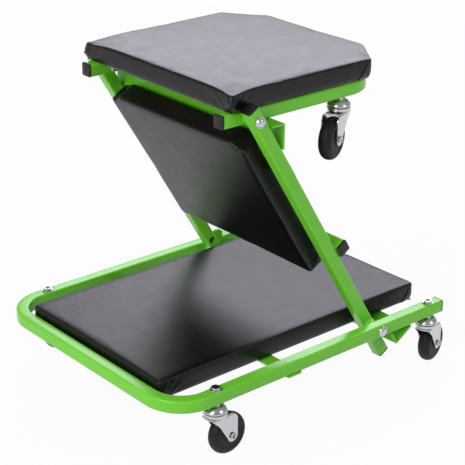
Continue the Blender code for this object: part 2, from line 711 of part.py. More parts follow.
def build_casters(looks, root, seat):
    """Six casters: each stem rides its frame, each fork its swivel, each wheel its axle."""
    through, blind = caster_stem(True), caster_stem(False)
    fork, axle, wheel = caster_fork(), caster_axle(), caster_wheel()
    places = (
        ("front", root, FRONT_CASTER, BASE_Y, UNDERSIDE, (FRONT_RIGHT_TURN, FRONT_LEFT_TURN), through),
        ("back", root, BASE_LENGTH - BACK_CASTER, BASE_Y, UNDERSIDE, (BACK_TURN, BACK_TURN), through),
        ("seat", seat, SEAT_CASTER, SEAT_Y, -HALF_TUBE, (SEAT_TURN, SEAT_TURN), blind),
    )
    for end, parent, x, y, z, turns, stem in places:
        for (side_name, side), turn in zip(SIDES, turns):
            name = f"{end}_{side_name}"
            place(f"caster_stem_{name}", stem, looks["zinc"], parent, (x, side * y, z))
            swivel = empty(f"swivel_{name}", parent, (x, side * y, z), (0, 0, -side * turn))
            place(f"caster_fork_{name}", fork, looks["zinc"], swivel)
            axle_at = (CASTER_TRAIL, 0, WHEEL_R - CASTER_HEIGHT)
            hub = empty(f"hub_{name}", swivel, axle_at, (math.pi / 2, 0, 0))
            place(f"caster_axle_{name}", axle, looks["zinc"], hub)
            place(f"caster_wheel_{name}", wheel, looks["wheel"], hub)


def main():
    clear_scene()
    looks = finishes()
    # The object's middle lies under its origin: from the rounded end to the back wheels
    back_axle = BASE_LENGTH - BACK_CASTER + CASTER_TRAIL * math.cos(BACK_TURN)
    root = empty("base", None, (-(back_axle + wheel_reach(BACK_TURN)) / 2, 0, 0))
    mid = empty("mid", root, (LOWER_PIVOT, 0, PIVOT_Z), (0, LEAN - math.pi / 2, 0))
    seat = empty("seat", mid, (0, 0, PIVOT_SPACING), (0, math.pi / 2 - LEAN, 0))
    build_base(looks, root)
    build_mid(looks, mid)
    build_seat(looks, seat)
    build_casters(looks, root, seat)


main()
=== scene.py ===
"""Looks of the folding mechanic creeper: detailed pieces, finishes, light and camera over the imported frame.

Metres, +Z up. Left is +Y. The base's rounded end is at low x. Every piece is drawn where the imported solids
are and rides the same body.
"""

import json
import math

import bmesh
import bpy
from mathutils import Matrix, Vector, noise
from mathutils.bvhtree import BVHTree


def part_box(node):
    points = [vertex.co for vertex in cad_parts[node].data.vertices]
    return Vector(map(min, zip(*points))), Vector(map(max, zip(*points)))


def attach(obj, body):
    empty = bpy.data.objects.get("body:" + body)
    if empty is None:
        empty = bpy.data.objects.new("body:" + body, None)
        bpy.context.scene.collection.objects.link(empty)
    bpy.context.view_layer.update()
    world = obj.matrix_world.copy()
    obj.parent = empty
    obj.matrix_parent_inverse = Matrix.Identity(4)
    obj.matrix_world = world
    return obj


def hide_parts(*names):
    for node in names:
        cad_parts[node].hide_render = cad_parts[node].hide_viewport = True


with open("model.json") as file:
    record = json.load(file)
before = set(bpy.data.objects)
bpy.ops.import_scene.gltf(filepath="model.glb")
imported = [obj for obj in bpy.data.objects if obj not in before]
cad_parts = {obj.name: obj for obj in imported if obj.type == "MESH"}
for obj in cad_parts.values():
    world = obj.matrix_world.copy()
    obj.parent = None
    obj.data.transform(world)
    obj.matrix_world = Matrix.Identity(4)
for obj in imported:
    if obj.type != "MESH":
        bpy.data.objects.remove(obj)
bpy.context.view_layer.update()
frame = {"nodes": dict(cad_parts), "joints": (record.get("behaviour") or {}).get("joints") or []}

bl_info = {
    "name": "Folding mechanic creeper",
    "version": (1, 0, 0),
    "blender": (4, 5, 0),
    "location": "View3D > Sidebar > Creeper",
    "description": "Dresses the packed creeper with its tubes, pads, casters, finishes and stage",
    "category": "Object",
}

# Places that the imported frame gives
JOINTS = {joint["name"]: joint for joint in frame["joints"]}
LOWER = Vector(JOINTS["mid_fold"]["pos_m"])
UPPER = Vector(JOINTS["seat_fold"]["pos_m"])
SIDES = (("left", 1), ("right", -1))
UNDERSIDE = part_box("base_frame")[0].z
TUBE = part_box("base_frame")[1].z - UNDERSIDE
HALF_TUBE = TUBE / 2
SEAT_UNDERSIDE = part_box("seat_frame")[0].z
# Gap between touching pieces
TOUCH = 0.0003
# Edges bent by more than this many degrees stay sharp
SHARP = 38


def at(place, turn=0, about="X"):
    """A place, turned about one of its axes."""
    return Matrix.Translation(place) @ Matrix.Rotation(turn, 4, about)


# The frames' own axes. The middle frame's Z runs from the lower pivot to the upper one, its X out of its back
LEAN = UPPER - LOWER
BASE = at((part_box("base_frame")[0].x, 0, 0))
MID = at(LOWER, math.atan2(LEAN.x, LEAN.z), "Y")
SEAT = at(UPPER)


def mm(*points):
    """Points given in millimetres."""
    return [tuple(value / 1000 for value in point) for point in points]


def extent(node, axes=Matrix.Identity(4)):
    """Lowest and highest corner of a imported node, along chosen axes."""
    turned = axes.inverted()
    points = [turned @ vertex.co for vertex in frame["nodes"][node].data.vertices]
    return Vector(map(min, *points)), Vector(map(max, *points))


# ---------------------------------------------------------------- sizes and colours

def linear(code):
    """An sRGB hex colour as linear red, green and blue, with full alpha."""
    values = [int(code[i:i + 2], 16) / 255 for i in (1, 3, 5)]
    return (*[v / 12.92 if v <= 0.04045 else ((v + 0.055) / 1.055) ** 2.4 for v in values], 1)


def size(name, description, default):
    return bpy.props.FloatProperty(name=name, description=description, default=default, min=0, precision=5,
                                   unit="LENGTH", subtype="DISTANCE")


def colour(name, description, code):
    return bpy.props.FloatVectorProperty(name=name, description=description, default=linear(code), size=4,
                                         subtype="COLOR", min=0, max=1)


class CreeperSizes(bpy.types.PropertyGroup):
    """Sizes of the details that the solids leave out."""
    tube_round: size("Tube corner", "Outside corner radius of the square tube", 0.0034)
    bend_radius: size("Bend radius", "Centre line radius of the frames' bends", 0.054)
    bend_press: size("Bend press", "How far the bender presses the tube's inner wall in", 0.0014)
    weld: size("Weld bead", "Half width of a weld bead", 0.0019)
    sheet_edge: size("Sheet edge", "Rounding of cut sheet edges", 0.0005)
    angle_root: size("Angle root", "Inside radius of the stop angles", 0.0025)
    cap_dome: size("Cap dome", "How far a tube cap's face stands out in its middle", 0.0005)
    pad_edge: size("Pad edge", "Height of the base pad at its edges", 0.031)
    seat_pad_edge: size("Seat pad edge", "Height of the seat pad at its edges", 0.0298)
    mid_pad_edge: size("Middle pad edge", "Height of the middle pad at its edges", 0.0355)
    pad_roll: size("Pad roll", "Radius of the pads' top edges", 0.0034)
    pad_corner: size("Pad corner", "Corner radius of the pads seen from above", 0.0055)
    pad_crown: size("Pad crown", "How far the pads' middles stand above their edges", 0.0014)
    pad_draw: size("Pad draw", "How far the pads' longest sides pull in between the corners", 0.0015)
    pad_reach: size("Pad reach", "How far the middle pad reaches in between the seat's legs", 0.0080)
    pad_dip: size("Pad dip", "How far the cover is pulled down at the seat pad's square corners", 0.0030)
    pad_ear: size("Pad ear", "How far the tucked cover stands out at the seat pad's square corners", 0.0048)
    pad_grid: size("Pad grid", "Mesh spacing of the pads while they swell", 0.005)
    pad_swell: size("Pad swell", "The most that a point of a pad may move while it swells", 0.0009)
    wrap: size("Wrap", "Width of the vinyl turned under the boards", 0.026)
    pleat: size("Pleat", "Width of a corner pleat at its foot", 0.024)
    staple: size("Staple", "Length of a staple", 0.010)
    staple_pitch: size("Staple pitch", "Distance between staples", 0.035)


class CreeperFinishes(bpy.types.PropertyGroup):
    """Colours of the finishes."""
    coat: colour("Powder coat", "Green of the frames", "#74D034")
    vinyl: colour("Vinyl", "Black of the pads' covers", "#0A0A0C")
    cap: colour("Cap", "Black of the moulded tube caps", "#0F0C0E")
    zinc: colour("Zinc", "Bright zinc plating", "#C9CBCE")
    # Thread: a darker, purplish zinc, drawn on the stems' threaded ends only
    thread: colour("Thread", "Darkened zinc in threads and recesses", "#5A5866")
    wheel: colour("Wheel", "Black of the wheels", "#080808")
    ply_light: colour("Early wood", "Pale bands of the plywood", "#C9A470")
    ply_dark: colour("Late wood", "Dark bands of the plywood", "#9A7142")
    floor: colour("Floor", "Floor and backdrop", "#CFCFCF")
    back_light: colour("Back light", "Cool white of the large light behind", "#F4F2FF")


# ---------------------------------------------------------------- finishes

def node(tree, kind, values=None, links=None, **settings):
    """Adds one node with its settings, its input values and its links from other nodes' outputs."""
    new = tree.nodes.new(kind)
    for key, value in settings.items():
        setattr(new, key, value)
    for key, value in (values or {}).items():
        new.inputs[key].default_value = value
    for key, source in (links or {}).items():
        tree.links.new(source, new.inputs[key])
    return new


def blank(name):
    """A new material, its empty tree and the place on the object that its patterns start from."""
    material = bpy.data.materials.new(name)
    material.use_nodes = True
    tree = material.node_tree
    tree.nodes.clear()
    return material, tree, node(tree, "ShaderNodeTexCoord").outputs["Object"]


def shade(rgba, factor):
    return (*[channel * factor for channel in rgba[:3]], 1)


def mottle(tree, place, width, detail, **values):
    """A noise pattern with spots of that width."""
    values = {"Scale": 1 / width, "Detail": detail, **values}
    return node(tree, "ShaderNodeTexNoise", values, {"Vector": place}).outputs["Fac"]


def streaks(tree, place, width, length, detail, **values):
    """A noise pattern drawn out along Y into streaks of that width and length."""
    run = node(tree, "ShaderNodeMapping", {"Scale": (1 / width, 1 / length, 1 / width)}, {"Vector": place})
    return mottle(tree, run.outputs["Vector"], 1, detail, **values)


def blend(tree, pattern, first, second):
    """A colour that a pattern mixes from two."""
    mixed = node(tree, "ShaderNodeMix", {"A": first, "B": second}, {"Factor": pattern}, data_type="RGBA")
    return mixed.outputs["Result"]


def gloss(tree, pattern, low, high):
    """A roughness that a pattern moves between two values."""
    spread = node(tree, "ShaderNodeMapRange", {"To Min": low, "To Max": high}, {"Value": pattern})
    return spread.outputs["Result"]


def bump(tree, pattern, strength, depth, under=None):
    """A pattern as bumps, over other bumps if there are any."""
    links = {"Height": pattern} if under is None else {"Height": pattern, "Normal": under}
    return node(tree, "ShaderNodeBump", {"Strength": strength, "Distance": depth}, links).outputs["Normal"]


def surfaced(material, values, tone, rough=None, normal=None):
    """Gives a material its shader and returns it."""
    tree = material.node_tree
    links = {"Base Color": tone, "Roughness": rough, "Normal": normal}
    shader = node(tree, "ShaderNodeBsdfPrincipled", values, {k: v for k, v in links.items() if v is not None})
    node(tree, "ShaderNodeOutputMaterial", links={"Surface": shader.outputs["BSDF"]})
    return material


def powder_coat(look):
    """Polyester powder coat, sprayed and baked on steel: an even gloss with a faint orange peel."""
    material, tree, place = blank("green_powder_coat_baked")
    cloud = mottle(tree, place, 0.05, 3)
    tone = blend(tree, cloud, shade(look.coat, 0.95), shade(look.coat, 1.05))
    # Orange peel is about 1.5 mm across; drawn at 3 mm, since finer does not show
    peel = bump(tree, mottle(tree, place, 0.003, 2), 0.10, 0.0004)
    return surfaced(material, {"IOR": 1.40}, tone, gloss(tree, cloud, 0.18, 0.25), peel)


def grained_vinyl(look):
    """Calendered and embossed PVC cover: satin black with pebble grain, fine drawn lines and some slack."""
    material, tree, place = blank("black_vinyl_embossed")
    cloud = mottle(tree, place, 0.02, 4)
    tone = blend(tree, cloud, shade(look.vinyl, 0.8), shade(look.vinyl, 1.25))
    slack = bump(tree, mottle(tree, place, 0.07, 2), 0.35, 0.0020)
    # Calender lines run across the pads about 1 mm apart; drawn at 3.5 mm, since finer does not show
    drawn = bump(tree, streaks(tree, place, 0.0035, 0.09, 2), 0.20, 0.0004, slack)
    # Grain pebbles are about 0.8 mm; drawn at 2 mm, since finer does not show
    pebble = node(tree, "ShaderNodeTexVoronoi", {"Scale": 1 / 0.002}, {"Vector": place},
                  feature="DISTANCE_TO_EDGE")
    groove = node(tree, "ShaderNodeMapRange", {"From Max": 0.25}, {"Value": pebble.outputs["Distance"]})
    grain = bump(tree, groove.outputs["Result"], 0.14, 0.0003, drawn)
    return surfaced(material, {"IOR": 1.38}, tone, gloss(tree, cloud, 0.30, 0.40), grain)


def moulded_cap(look):
    """Injection-moulded polyethylene: a dull black with the mould's spark grain."""
    material, tree, place = blank("black_polyethylene_moulded")
    # Spark grain is about 0.3 mm; drawn at 1.2 mm, since finer does not show
    spark = mottle(tree, place, 0.0012, 3)
    tone = blend(tree, spark, shade(look.cap, 0.85), shade(look.cap, 1.15))
    return surfaced(material, {"Roughness": 0.42, "IOR": 1.42}, tone, normal=bump(tree, spark, 0.2, 0.0002))


def plated_zinc(look):
    """Pressed steel, barrel-plated with bright zinc: a clear mirror, clouded a little here and there."""
    material, tree, place = blank("zinc_plated_steel_bright")
    cloud = mottle(tree, place, 0.006, 3)
    tone = blend(tree, cloud, shade(look.zinc, 0.88), look.zinc)
    # Rolling marks in the sheet are about 0.2 mm; drawn at 1 mm, since finer does not show
    rolled = bump(tree, mottle(tree, place, 0.001, 2), 0.06, 0.0002)
    return surfaced(material, {"Metallic": 1}, tone, gloss(tree, cloud, 0.14, 0.28), rolled)


def cut_thread(look):
    """Rolled thread: zinc drawn darker and duller than a plated face, with a purplish tint."""
    material, tree, place = blank("zinc_plated_thread_rolled")
    tone = blend(tree, mottle(tree, place, 0.003, 3), shade(look.thread, 0.7), look.thread)
    return surfaced(material, {"Metallic": 1, "Roughness": 0.38}, tone)


def hard_rubber(look):
    """Moulded hard rubber: matt black, a little greyer where the floor has rubbed it."""
    material, tree, place = blank("black_rubber_moulded")
    rub = mottle(tree, place, 0.012, 5, Roughness=0.6)
    tone = blend(tree, rub, shade(look.wheel, 0.75), shade(look.wheel, 1.3))
    # Moulding grit is about 0.2 mm; drawn at 1 mm, since finer does not show
    grit = bump(tree, mottle(tree, place, 0.001, 2), 0.2, 0.0002)
    return surfaced(material, {"IOR": 1.40}, tone, gloss(tree, rub, 0.5, 0.68), grit)


def raw_plywood(look):
    """Rotary-cut plywood, sanded and unsealed: pale wood with long wavy bands and open pores."""
    material, tree, place = blank("plywood_sanded")
    # Grain bands are 6 mm wide and fifty times as long, across the board
    band = streaks(tree, place, 0.006, 0.3, 4, Distortion=1.2)
    tone = blend(tree, band, look.ply_light, look.ply_dark)
    pore = bump(tree, streaks(tree, place, 0.0012, 0.03, 2), 0.3, 0.0003)
    return surfaced(material, {"Roughness": 0.72, "IOR": 1.5}, tone, normal=pore)


FINISHES = {"coat": (powder_coat, "green_powder_coat"), "vinyl": (grained_vinyl, "black_vinyl"),
            "cap": (moulded_cap, "black_plastic"), "zinc": (plated_zinc, "zinc_plated_steel"),
            "thread": (cut_thread, "zinc_plated_steel"), "rubber": (hard_rubber, "black_wheel_rubber"),
            "plywood": (raw_plywood, "plywood")}
MADE = {}


def finish(name):
    """The material of that name, made on its first use."""
    if name not in MADE:
        MADE[name] = FINISHES[name][0](bpy.context.scene.creeper_finishes)
    return MADE[name]


# ---------------------------------------------------------------- shapes

def skin(bm, loops, axes=Matrix.Identity(4), ends=True, hoop=False, paint=0):
    """Adds a skin through loops of equally many points, with flat ends or closed into a hoop."""
    rings = [[bm.verts.new(axes @ Vector(point)) for point in loop] for loop in loops]
    pairs = list(zip(rings, rings[1:])) + ([(rings[-1], rings[0])] if hoop else [])
    faces = []
    for first, second in pairs:
        for i in range(len(first)):
            j = i + 1 if i + 1 < len(first) else 0
            faces.append(bm.faces.new((first[i], first[j], second[j], second[i])))
    if ends and not hoop:
        faces += [bm.faces.new(rings[0][::-1]), bm.faces.new(rings[-1])]
    for face in faces:
        face.material_index = paint
    return rings


NUT_STEPS = 24


def ring(radius, z, steps):
    turns = [2 * math.pi * i / steps for i in range(steps)]
    return [(radius * math.cos(t), radius * math.sin(t), z) for t in turns]


def lathe(bm, profile, axes, steps=32, hoop=False, paint=0):
    """Adds a turned solid about Z from points of radius and height."""
    skin(bm, [ring(r, z, steps) for r, z in profile], axes, hoop=hoop, paint=paint)


def hexagon(flats, z, clip=1):
    """A nut's outline as many points, so that it meets round loops, cut back to a circle by its chamfer."""
    points = []
    for i in range(NUT_STEPS):
        turn = 2 * math.pi * i / NUT_STEPS
        off = (turn + math.pi / 6) % (math.pi / 3) - math.pi / 6
        r = min(flats / 2 / math.cos(off), flats * clip)
        points.append((r * math.cos(turn), r * math.sin(turn), z))
    return points


def hex_nut(bm, flats, low, high, axes, lock=0):
    """Adds a chamfered nut along Z. A lock nut has a round collar of that height on its upper end."""
    edge, top = flats * 0.06, high - lock
    levels = ((low, 0.49), (low + edge, 0.57), (low + edge * 1.6, 1), (top - edge * 1.6, 1),
              (top - edge, 0.57), (top, 0.48))
    loops = [hexagon(flats, z, clip) for z, clip in levels]
    if lock:
        loops += [ring(flats * r, z, NUT_STEPS) for r, z in ((0.47, top), (0.46, high - edge), (0.38, high))]
    skin(bm, loops, axes)


def arc(x, y, radius, start, end, steps):
    """Points on a part of a circle."""
    turns = [start + (end - start) * step / steps for step in range(steps + 1)]
    return [(x + radius * math.cos(t), y + radius * math.sin(t)) for t in turns]


def rounded_square(side, radius, flats=1):
    """A square with rounded corners and points along its flats, counter-clockwise."""
    half = side / 2 - radius
    quarter = arc(half, half, radius, 0, math.pi / 2, 4)
    quarter += [(half - 2 * half * step / flats, side / 2) for step in range(1, flats)]
    return [Matrix.Rotation(turn * math.pi / 2, 2) @ Vector(point) for turn in range(4) for point in quarter]


def tube(bm, path, axes, flats=1):
    """Adds square tube along a path of points, sideways and upward directions, and how hard it is bent."""
    sizes = bpy.context.scene.creeper_sizes
    section = rounded_square(TUBE, sizes.tube_round, flats)
    loops = []
    for point, sideways, up, bend in path:
        loop = []
        for a, b in section:
            inner = max(0, -a / HALF_TUBE) ** 3 * max(0, 1 - (b / (TUBE * 0.42)) ** 2)
            loop.append(point + sideways * (a + sizes.bend_press * bend * inner) + up * b)
        loops.append(loop)
    skin(bm, loops, axes)


def bent_path(width, length, steps=18):
    """Centre line of a U: the rounded end's outer face at x = 0, the legs' open ends at x = length."""
    radius = bpy.context.scene.creeper_sizes.bend_radius
    y, up = width / 2 - HALF_TUBE, Vector((0, 0, 1))
    path = [(Vector((length, -y, 0)), Vector((0, -1, 0)), up, 0)]
    for side, start in ((-1, -math.pi / 2), (1, -math.pi)):
        for step in range(steps + 1):
            turn = start - step * math.pi / 2 / steps
            out = Vector((math.cos(turn), math.sin(turn), 0))
            middle = Vector((HALF_TUBE + radius, side * (y - radius), 0))
            path.append((middle + radius * out, out, up, math.sin(math.pi * step / steps) ** 0.5))
    path.append((Vector((length, y, 0)), Vector((0, 1, 0)), up, 0))
    return path


def straight_path(start, end):
    """Centre line of a straight tube across X."""
    sideways = Vector((1, 0, 0))
    up = (end - start).normalized().cross(sideways)
    return [(start, sideways, up, 0), (end, sideways, up, 0)]


def bar(bm, section, low, high, axes, edge=None):
    """Adds a section in X and Z drawn out along Y, its ends' edges rounded."""
    edge = bpy.context.scene.creeper_sizes.sheet_edge if edge is None else edge
    section = [Vector(p) for p in section]
    middle = sum(section, Vector((0, 0))) / len(section)
    loops = []
    for y, inset in ((low, 1), (low + 0.3 * edge, 0.3), (low + edge, 0), (high - edge, 0),
                     (high - 0.3 * edge, 0.3), (high, 1)):
        loop = []
        for p in section:
            pull = middle - p
            p = p + pull.normalized() * min(edge * inset, pull.length / 2)
            loop.append((p.x, y, p.y))
        loops.append(loop)
    skin(bm, loops, axes)


def flat_outline(low_x, high_x, low_z, high_z, edge):
    """A rectangle in X and Z with its four corners rounded."""
    points = []
    for x, z, quarter in ((high_x - edge, high_z - edge, 0), (low_x + edge, high_z - edge, 1),
                          (low_x + edge, low_z + edge, 2), (high_x - edge, low_z + edge, 3)):
        points += arc(x, z, edge, quarter * math.pi / 2, (quarter + 1) * math.pi / 2, 2)
    return points


def cap_piece(name, body, packed, axes):
    """Makes a moulded cap: the tube's end at z = 0, a plug inside it, a gently domed plate along +Z."""
    dome = bpy.context.scene.creeper_sizes.cap_dome
    # Height above the tube's end, side and corner radius of each level
    levels = [(-0.010, TUBE * 0.82, 0.001), (TOUCH, TUBE * 0.82, 0.001), (TOUCH, TUBE - 0.0006, 0.0026),
              (0.0007, TUBE, 0.0028), (0.0019, TUBE, 0.0028), (0.0025, TUBE - 0.0005, 0.0027),
              (0.0028, TUBE - 0.0016, 0.0025), (0.0028 + dome * 0.5, TUBE * 0.6, 0.002),
              (0.0028 + dome, TUBE * 0.25, 0.0015)]
    bm = bmesh.new()
    skin(bm, [[(p.x, p.y, z) for p in rounded_square(side, r)] for z, side, r in levels], axes)
    piece(name, bm, ["cap"], body, packed)


def strip_piece(name, body, packed, axes):
    """Makes a flat bar with rounded edges."""
    low, high = extent(packed, axes)
    bm = bmesh.new()
    edge = bpy.context.scene.creeper_sizes.sheet_edge
    bar(bm, flat_outline(low.x, high.x, low.z, high.z, edge), low.y, high.y, axes)
    piece(name, bm, ["coat"], body, packed)


def weld(bm, start, end, axes):
    """Adds a rippled weld bead from one point to another."""
    radius = bpy.context.scene.creeper_sizes.weld
    start, end = Vector(start), Vector(end)
    along = end - start
    length = along.length
    along.normalize()
    side = along.orthogonal().normalized()
    other = along.cross(side)
    # Each pool of weld metal is about 2.4 mm long and drawn in steps of 0.7 mm
    pool, count = 0.0024, max(8, round(length / 0.0007))
    loops = []
    for i in range(count + 1):
        share = i / count
        r = radius * (0.9 + 0.16 * abs(math.sin(math.pi * share * length / pool)))
        r *= min(1, math.sqrt(max(0.02, 4 * share * (1 - share) * length / 0.004)))
        loops.append([start.lerp(end, share) + side * x + other * y for x, y, _ in ring(r, 0, 10)])
    skin(bm, loops, axes)


def weld_across(bm, x, y, z, half, axes):
    """Adds a weld bead along Y."""
    weld(bm, (x, y - half, z), (x, y + half, z), axes)


def placed(name, bm):
    """Puts a mesh into the scene as an object, its faces turned outwards."""
    bmesh.ops.recalc_face_normals(bm, faces=bm.faces)
    mesh = bpy.data.meshes.new(name)
    bm.to_mesh(mesh)
    bm.free()
    made = bpy.data.objects.new(name, mesh)
    bpy.context.scene.collection.objects.link(made)
    return made


def applied(made):
    """A new mesh of an object with its modifiers applied."""
    bpy.context.view_layer.update()
    return bpy.data.meshes.new_from_object(made.evaluated_get(bpy.context.evaluated_depsgraph_get()))


def smoothed(made, angle=SHARP, flat=True):
    """Shades an object smooth up to an angle, with its flat faces kept flat if asked."""
    made.data.shade_smooth()
    made.data.set_sharp_from_angle(angle=math.radians(angle))
    if flat:
        made.modifiers.new("flat faces", "WEIGHTED_NORMAL").keep_sharp = True


def piece(name, bm, finishes, body, *nodes, angle=SHARP, flat=True):
    """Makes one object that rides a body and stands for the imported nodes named."""
    made = placed(name, bm)
    smoothed(made, angle, flat)
    for each in finishes:
        made.data.materials.append(finish(each))
    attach(made, body)
    if nodes:
        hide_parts(*nodes)
    return made


def drilled(made, bm):
    """Cuts a turned hole in a piece for good."""
    drill = placed("drill", bm)
    made.modifiers.clear()
    cut = made.modifiers.new("hole", "BOOLEAN")
    cut.operation, cut.solver, cut.object = "DIFFERENCE", "EXACT", drill
    result = applied(made)
    made.modifiers.clear()
    made.data = result
    bpy.data.objects.remove(drill)
    smoothed(made)


# ---------------------------------------------------------------- frames

# Weld beads lie this far off the face they run on and this far beside the edge they follow
WELD_OFF, WELD_BESIDE = 0.0008, 0.0006
ANGLE_SHEET, ANGLE_EDGE = 0.0025, 0.0003
# Half length of the beads across a tube's width
TUBE_BEAD = HALF_TUBE - 0.001
# Turned shapes as radius and height. A spacing collar is pressed out of the rail's wall
COLLAR = mm((10.8, -0.5), (10.6, 0.6), (9.6, 1.5), (9.0, 2.4), (9.0, 6.4), (8.6, 6.9), (4.5, 6.9))
# The hole in a rail's inner wall, for the driver of the lower bolt, and the hollow behind it
ACCESS_HOLE = mm((6.0, -4.0), (6.0, 1.5), (8.3, 1.6), (8.3, 17.2), (2.0, 17.4))
ACCESS_Z = 0.029
LUG_RADIUS, LUG_SHEET, LUG_Z = 0.0105, 0.005, 0.020


def angle_section(low, high, lap_x, reach_x):
    """Section of a stop angle hung under a tube: a lapping flange along X, a hanging one at its far end."""
    sizes = bpy.context.scene.creeper_sizes
    sheet, root, e = ANGLE_SHEET, sizes.angle_root, sizes.sheet_edge
    points = [(lap_x, high - e), (lap_x + e, high)]
    points += arc(reach_x - 2 * e, high - 2 * e, 2 * e, math.pi / 2, 0, 3)
    points += [(reach_x, low + e), (reach_x - e, low), (reach_x - sheet + e, low), (reach_x - sheet, low + e)]
    points += arc(reach_x - sheet - root, high - sheet - root, root, 0, math.pi / 2, 4)
    return points + [(lap_x + e, high - sheet), (lap_x, high - sheet + e)]


class CREEPER_OT_base_frame(bpy.types.Operator):
    """Base U of square tube with its pad strip, tabs, welds and leg caps"""
    bl_idname = "creeper.base_frame"
    bl_label = "Base frame"

    def execute(self, context):
        low, high = extent("base_frame", BASE)
        level = (low.z + high.z) / 2
        bm = bmesh.new()
        tube(bm, bent_path(high.y - low.y, high.x), BASE @ at((0, 0, level)), flats=4)
        bead = UNDERSIDE - WELD_OFF
        strip_low, strip_high = extent("base_pad_strip", BASE)
        for name, side in SIDES:
            for x in (strip_low.x - WELD_BESIDE, strip_high.x + WELD_BESIDE):
                weld(bm, *[(x, side * (high.y - inset), bead) for inset in (0.0015, 0.0185)], BASE)
            tab_low, tab_high = extent(f"base_pad_tab_{name}", BASE)
            for y in (tab_low.y - WELD_BESIDE, tab_high.y + WELD_BESIDE):
                weld(bm, (tab_low.x + 0.001, y, bead), (TUBE - 0.001, y, bead), BASE)
        piece("base_tube", bm, ["coat"], "base", "base_frame")
        strip_piece("base_strip", "base", "base_pad_strip", BASE)
        for name, side in SIDES:
            strip_piece(f"base_tab_{name}", "base", f"base_pad_tab_{name}", BASE)
            end = at((high.x, side * (high.y - HALF_TUBE), level), math.pi / 2, "Y")
            cap_piece(f"base_end_cap_{name}", "base", f"base_leg_cap_{name}", BASE @ end)
        return {"FINISHED"}


def rail_lug(bm, tip, y):
    """Adds the round-ended tab on the back of a rail and the weld beads along its foot."""
    root, radius = HALF_TUBE - 0.001, LUG_RADIUS
    points = [(root, LUG_Z - radius)] + arc(tip - radius, LUG_Z, radius, -math.pi / 2, math.pi / 2, 24)
    bar(bm, points + [(root, LUG_Z + radius)], y - LUG_SHEET / 2, y + LUG_SHEET / 2, MID)
    for way in (-1, 1):
        foot = (HALF_TUBE + WELD_OFF, y + way * (LUG_SHEET / 2 + 0.0004))
        weld(bm, (*foot, LUG_Z - radius + 0.001), (*foot, LUG_Z + radius - 0.001), MID)


class CREEPER_OT_middle_frame(bpy.types.Operator):
    """Two leaning rails with collars, access holes and caps, cross tube, strip and lower stop angle"""
    bl_idname = "creeper.middle_frame"
    bl_label = "Middle frame"

    def execute(self, context):
        cross_low, cross_high = extent("mid_cross_tube", MID)
        cross = (cross_low + cross_high) / 2
        strip_low, strip_high = extent("mid_pad_strip", MID)
        angle_low, angle_high = extent("mid_stop_angle", MID)
        for name, side in SIDES:
            low, high = extent(f"mid_rail_{name}", MID)
            y = sum(corner.y for corner in extent(f"mid_top_cap_{name}", MID)) / 2
            bm = bmesh.new()
            tube(bm, straight_path(Vector((0, y, low.z)), Vector((0, y, high.z))), MID)
            rail = piece(f"rail_{name}", bm, ["coat"], "mid", f"mid_rail_{name}")
            bm = bmesh.new()
            hole = at((0, y - side * HALF_TUBE, ACCESS_Z), math.pi / 2)
            lathe(bm, [(r, -side * z) for r, z in ACCESS_HOLE], MID @ hole)
            drilled(rail, bm)
            bm = bmesh.new()
            for z, out in ((0, side), (LEAN.length, -side)):
                lathe(bm, COLLAR, MID @ at((0, y + out * HALF_TUBE, z), -out * math.pi / 2))
            for z in (cross_low.z - WELD_BESIDE, cross_high.z + WELD_BESIDE):
                weld_across(bm, HALF_TUBE + WELD_OFF, y, z, TUBE_BEAD, MID)
            for z in (strip_low.z - WELD_BESIDE, strip_high.z + WELD_BESIDE):
                weld_across(bm, HALF_TUBE + WELD_OFF, side * (strip_high.y - 0.006), z, 0.006, MID)
            weld_across(bm, HALF_TUBE + 0.0006, y, angle_high.z + 0.0004, TUBE_BEAD, MID)
            # One rail's box reaches further back than its tube: that one has the lug
            if high.x > HALF_TUBE + 0.005:
                rail_lug(bm, high.x, y)
            piece(f"rail_collars_{name}", bm, ["coat"], "mid")
            for end, place in (("top", at((0, y, high.z))), ("foot", at((0, y, low.z), math.pi))):
                cap_piece(f"rail_{end}_cap_{name}", "mid", f"mid_{end}_cap_{name}", MID @ place)
            end = at((cross.x, side * cross_high.y, cross.z), -side * math.pi / 2)
            cap_piece(f"cross_cap_{name}", "mid", f"mid_cross_cap_{name}", MID @ end)
        bm = bmesh.new()
        ends = [Vector((cross.x, y, cross.z)) for y in (cross_low.y, cross_high.y)]
        tube(bm, straight_path(*ends), MID)
        piece("cross_tube", bm, ["coat"], "mid", "mid_cross_tube")
        strip_piece("middle_strip", "mid", "mid_pad_strip", MID)
        # The angle laps the rails' backs: the same section as under the seat, turned over its diagonal
        bm = bmesh.new()
        section = angle_section(-angle_high.x, -angle_low.x, -angle_high.z, -angle_low.z)
        bar(bm, [(-z, -x) for x, z in section], angle_low.y, angle_high.y, MID, ANGLE_EDGE)
        piece("lower_stop_angle", bm, ["coat"], "mid", "mid_stop_angle")
        return {"FINISHED"}


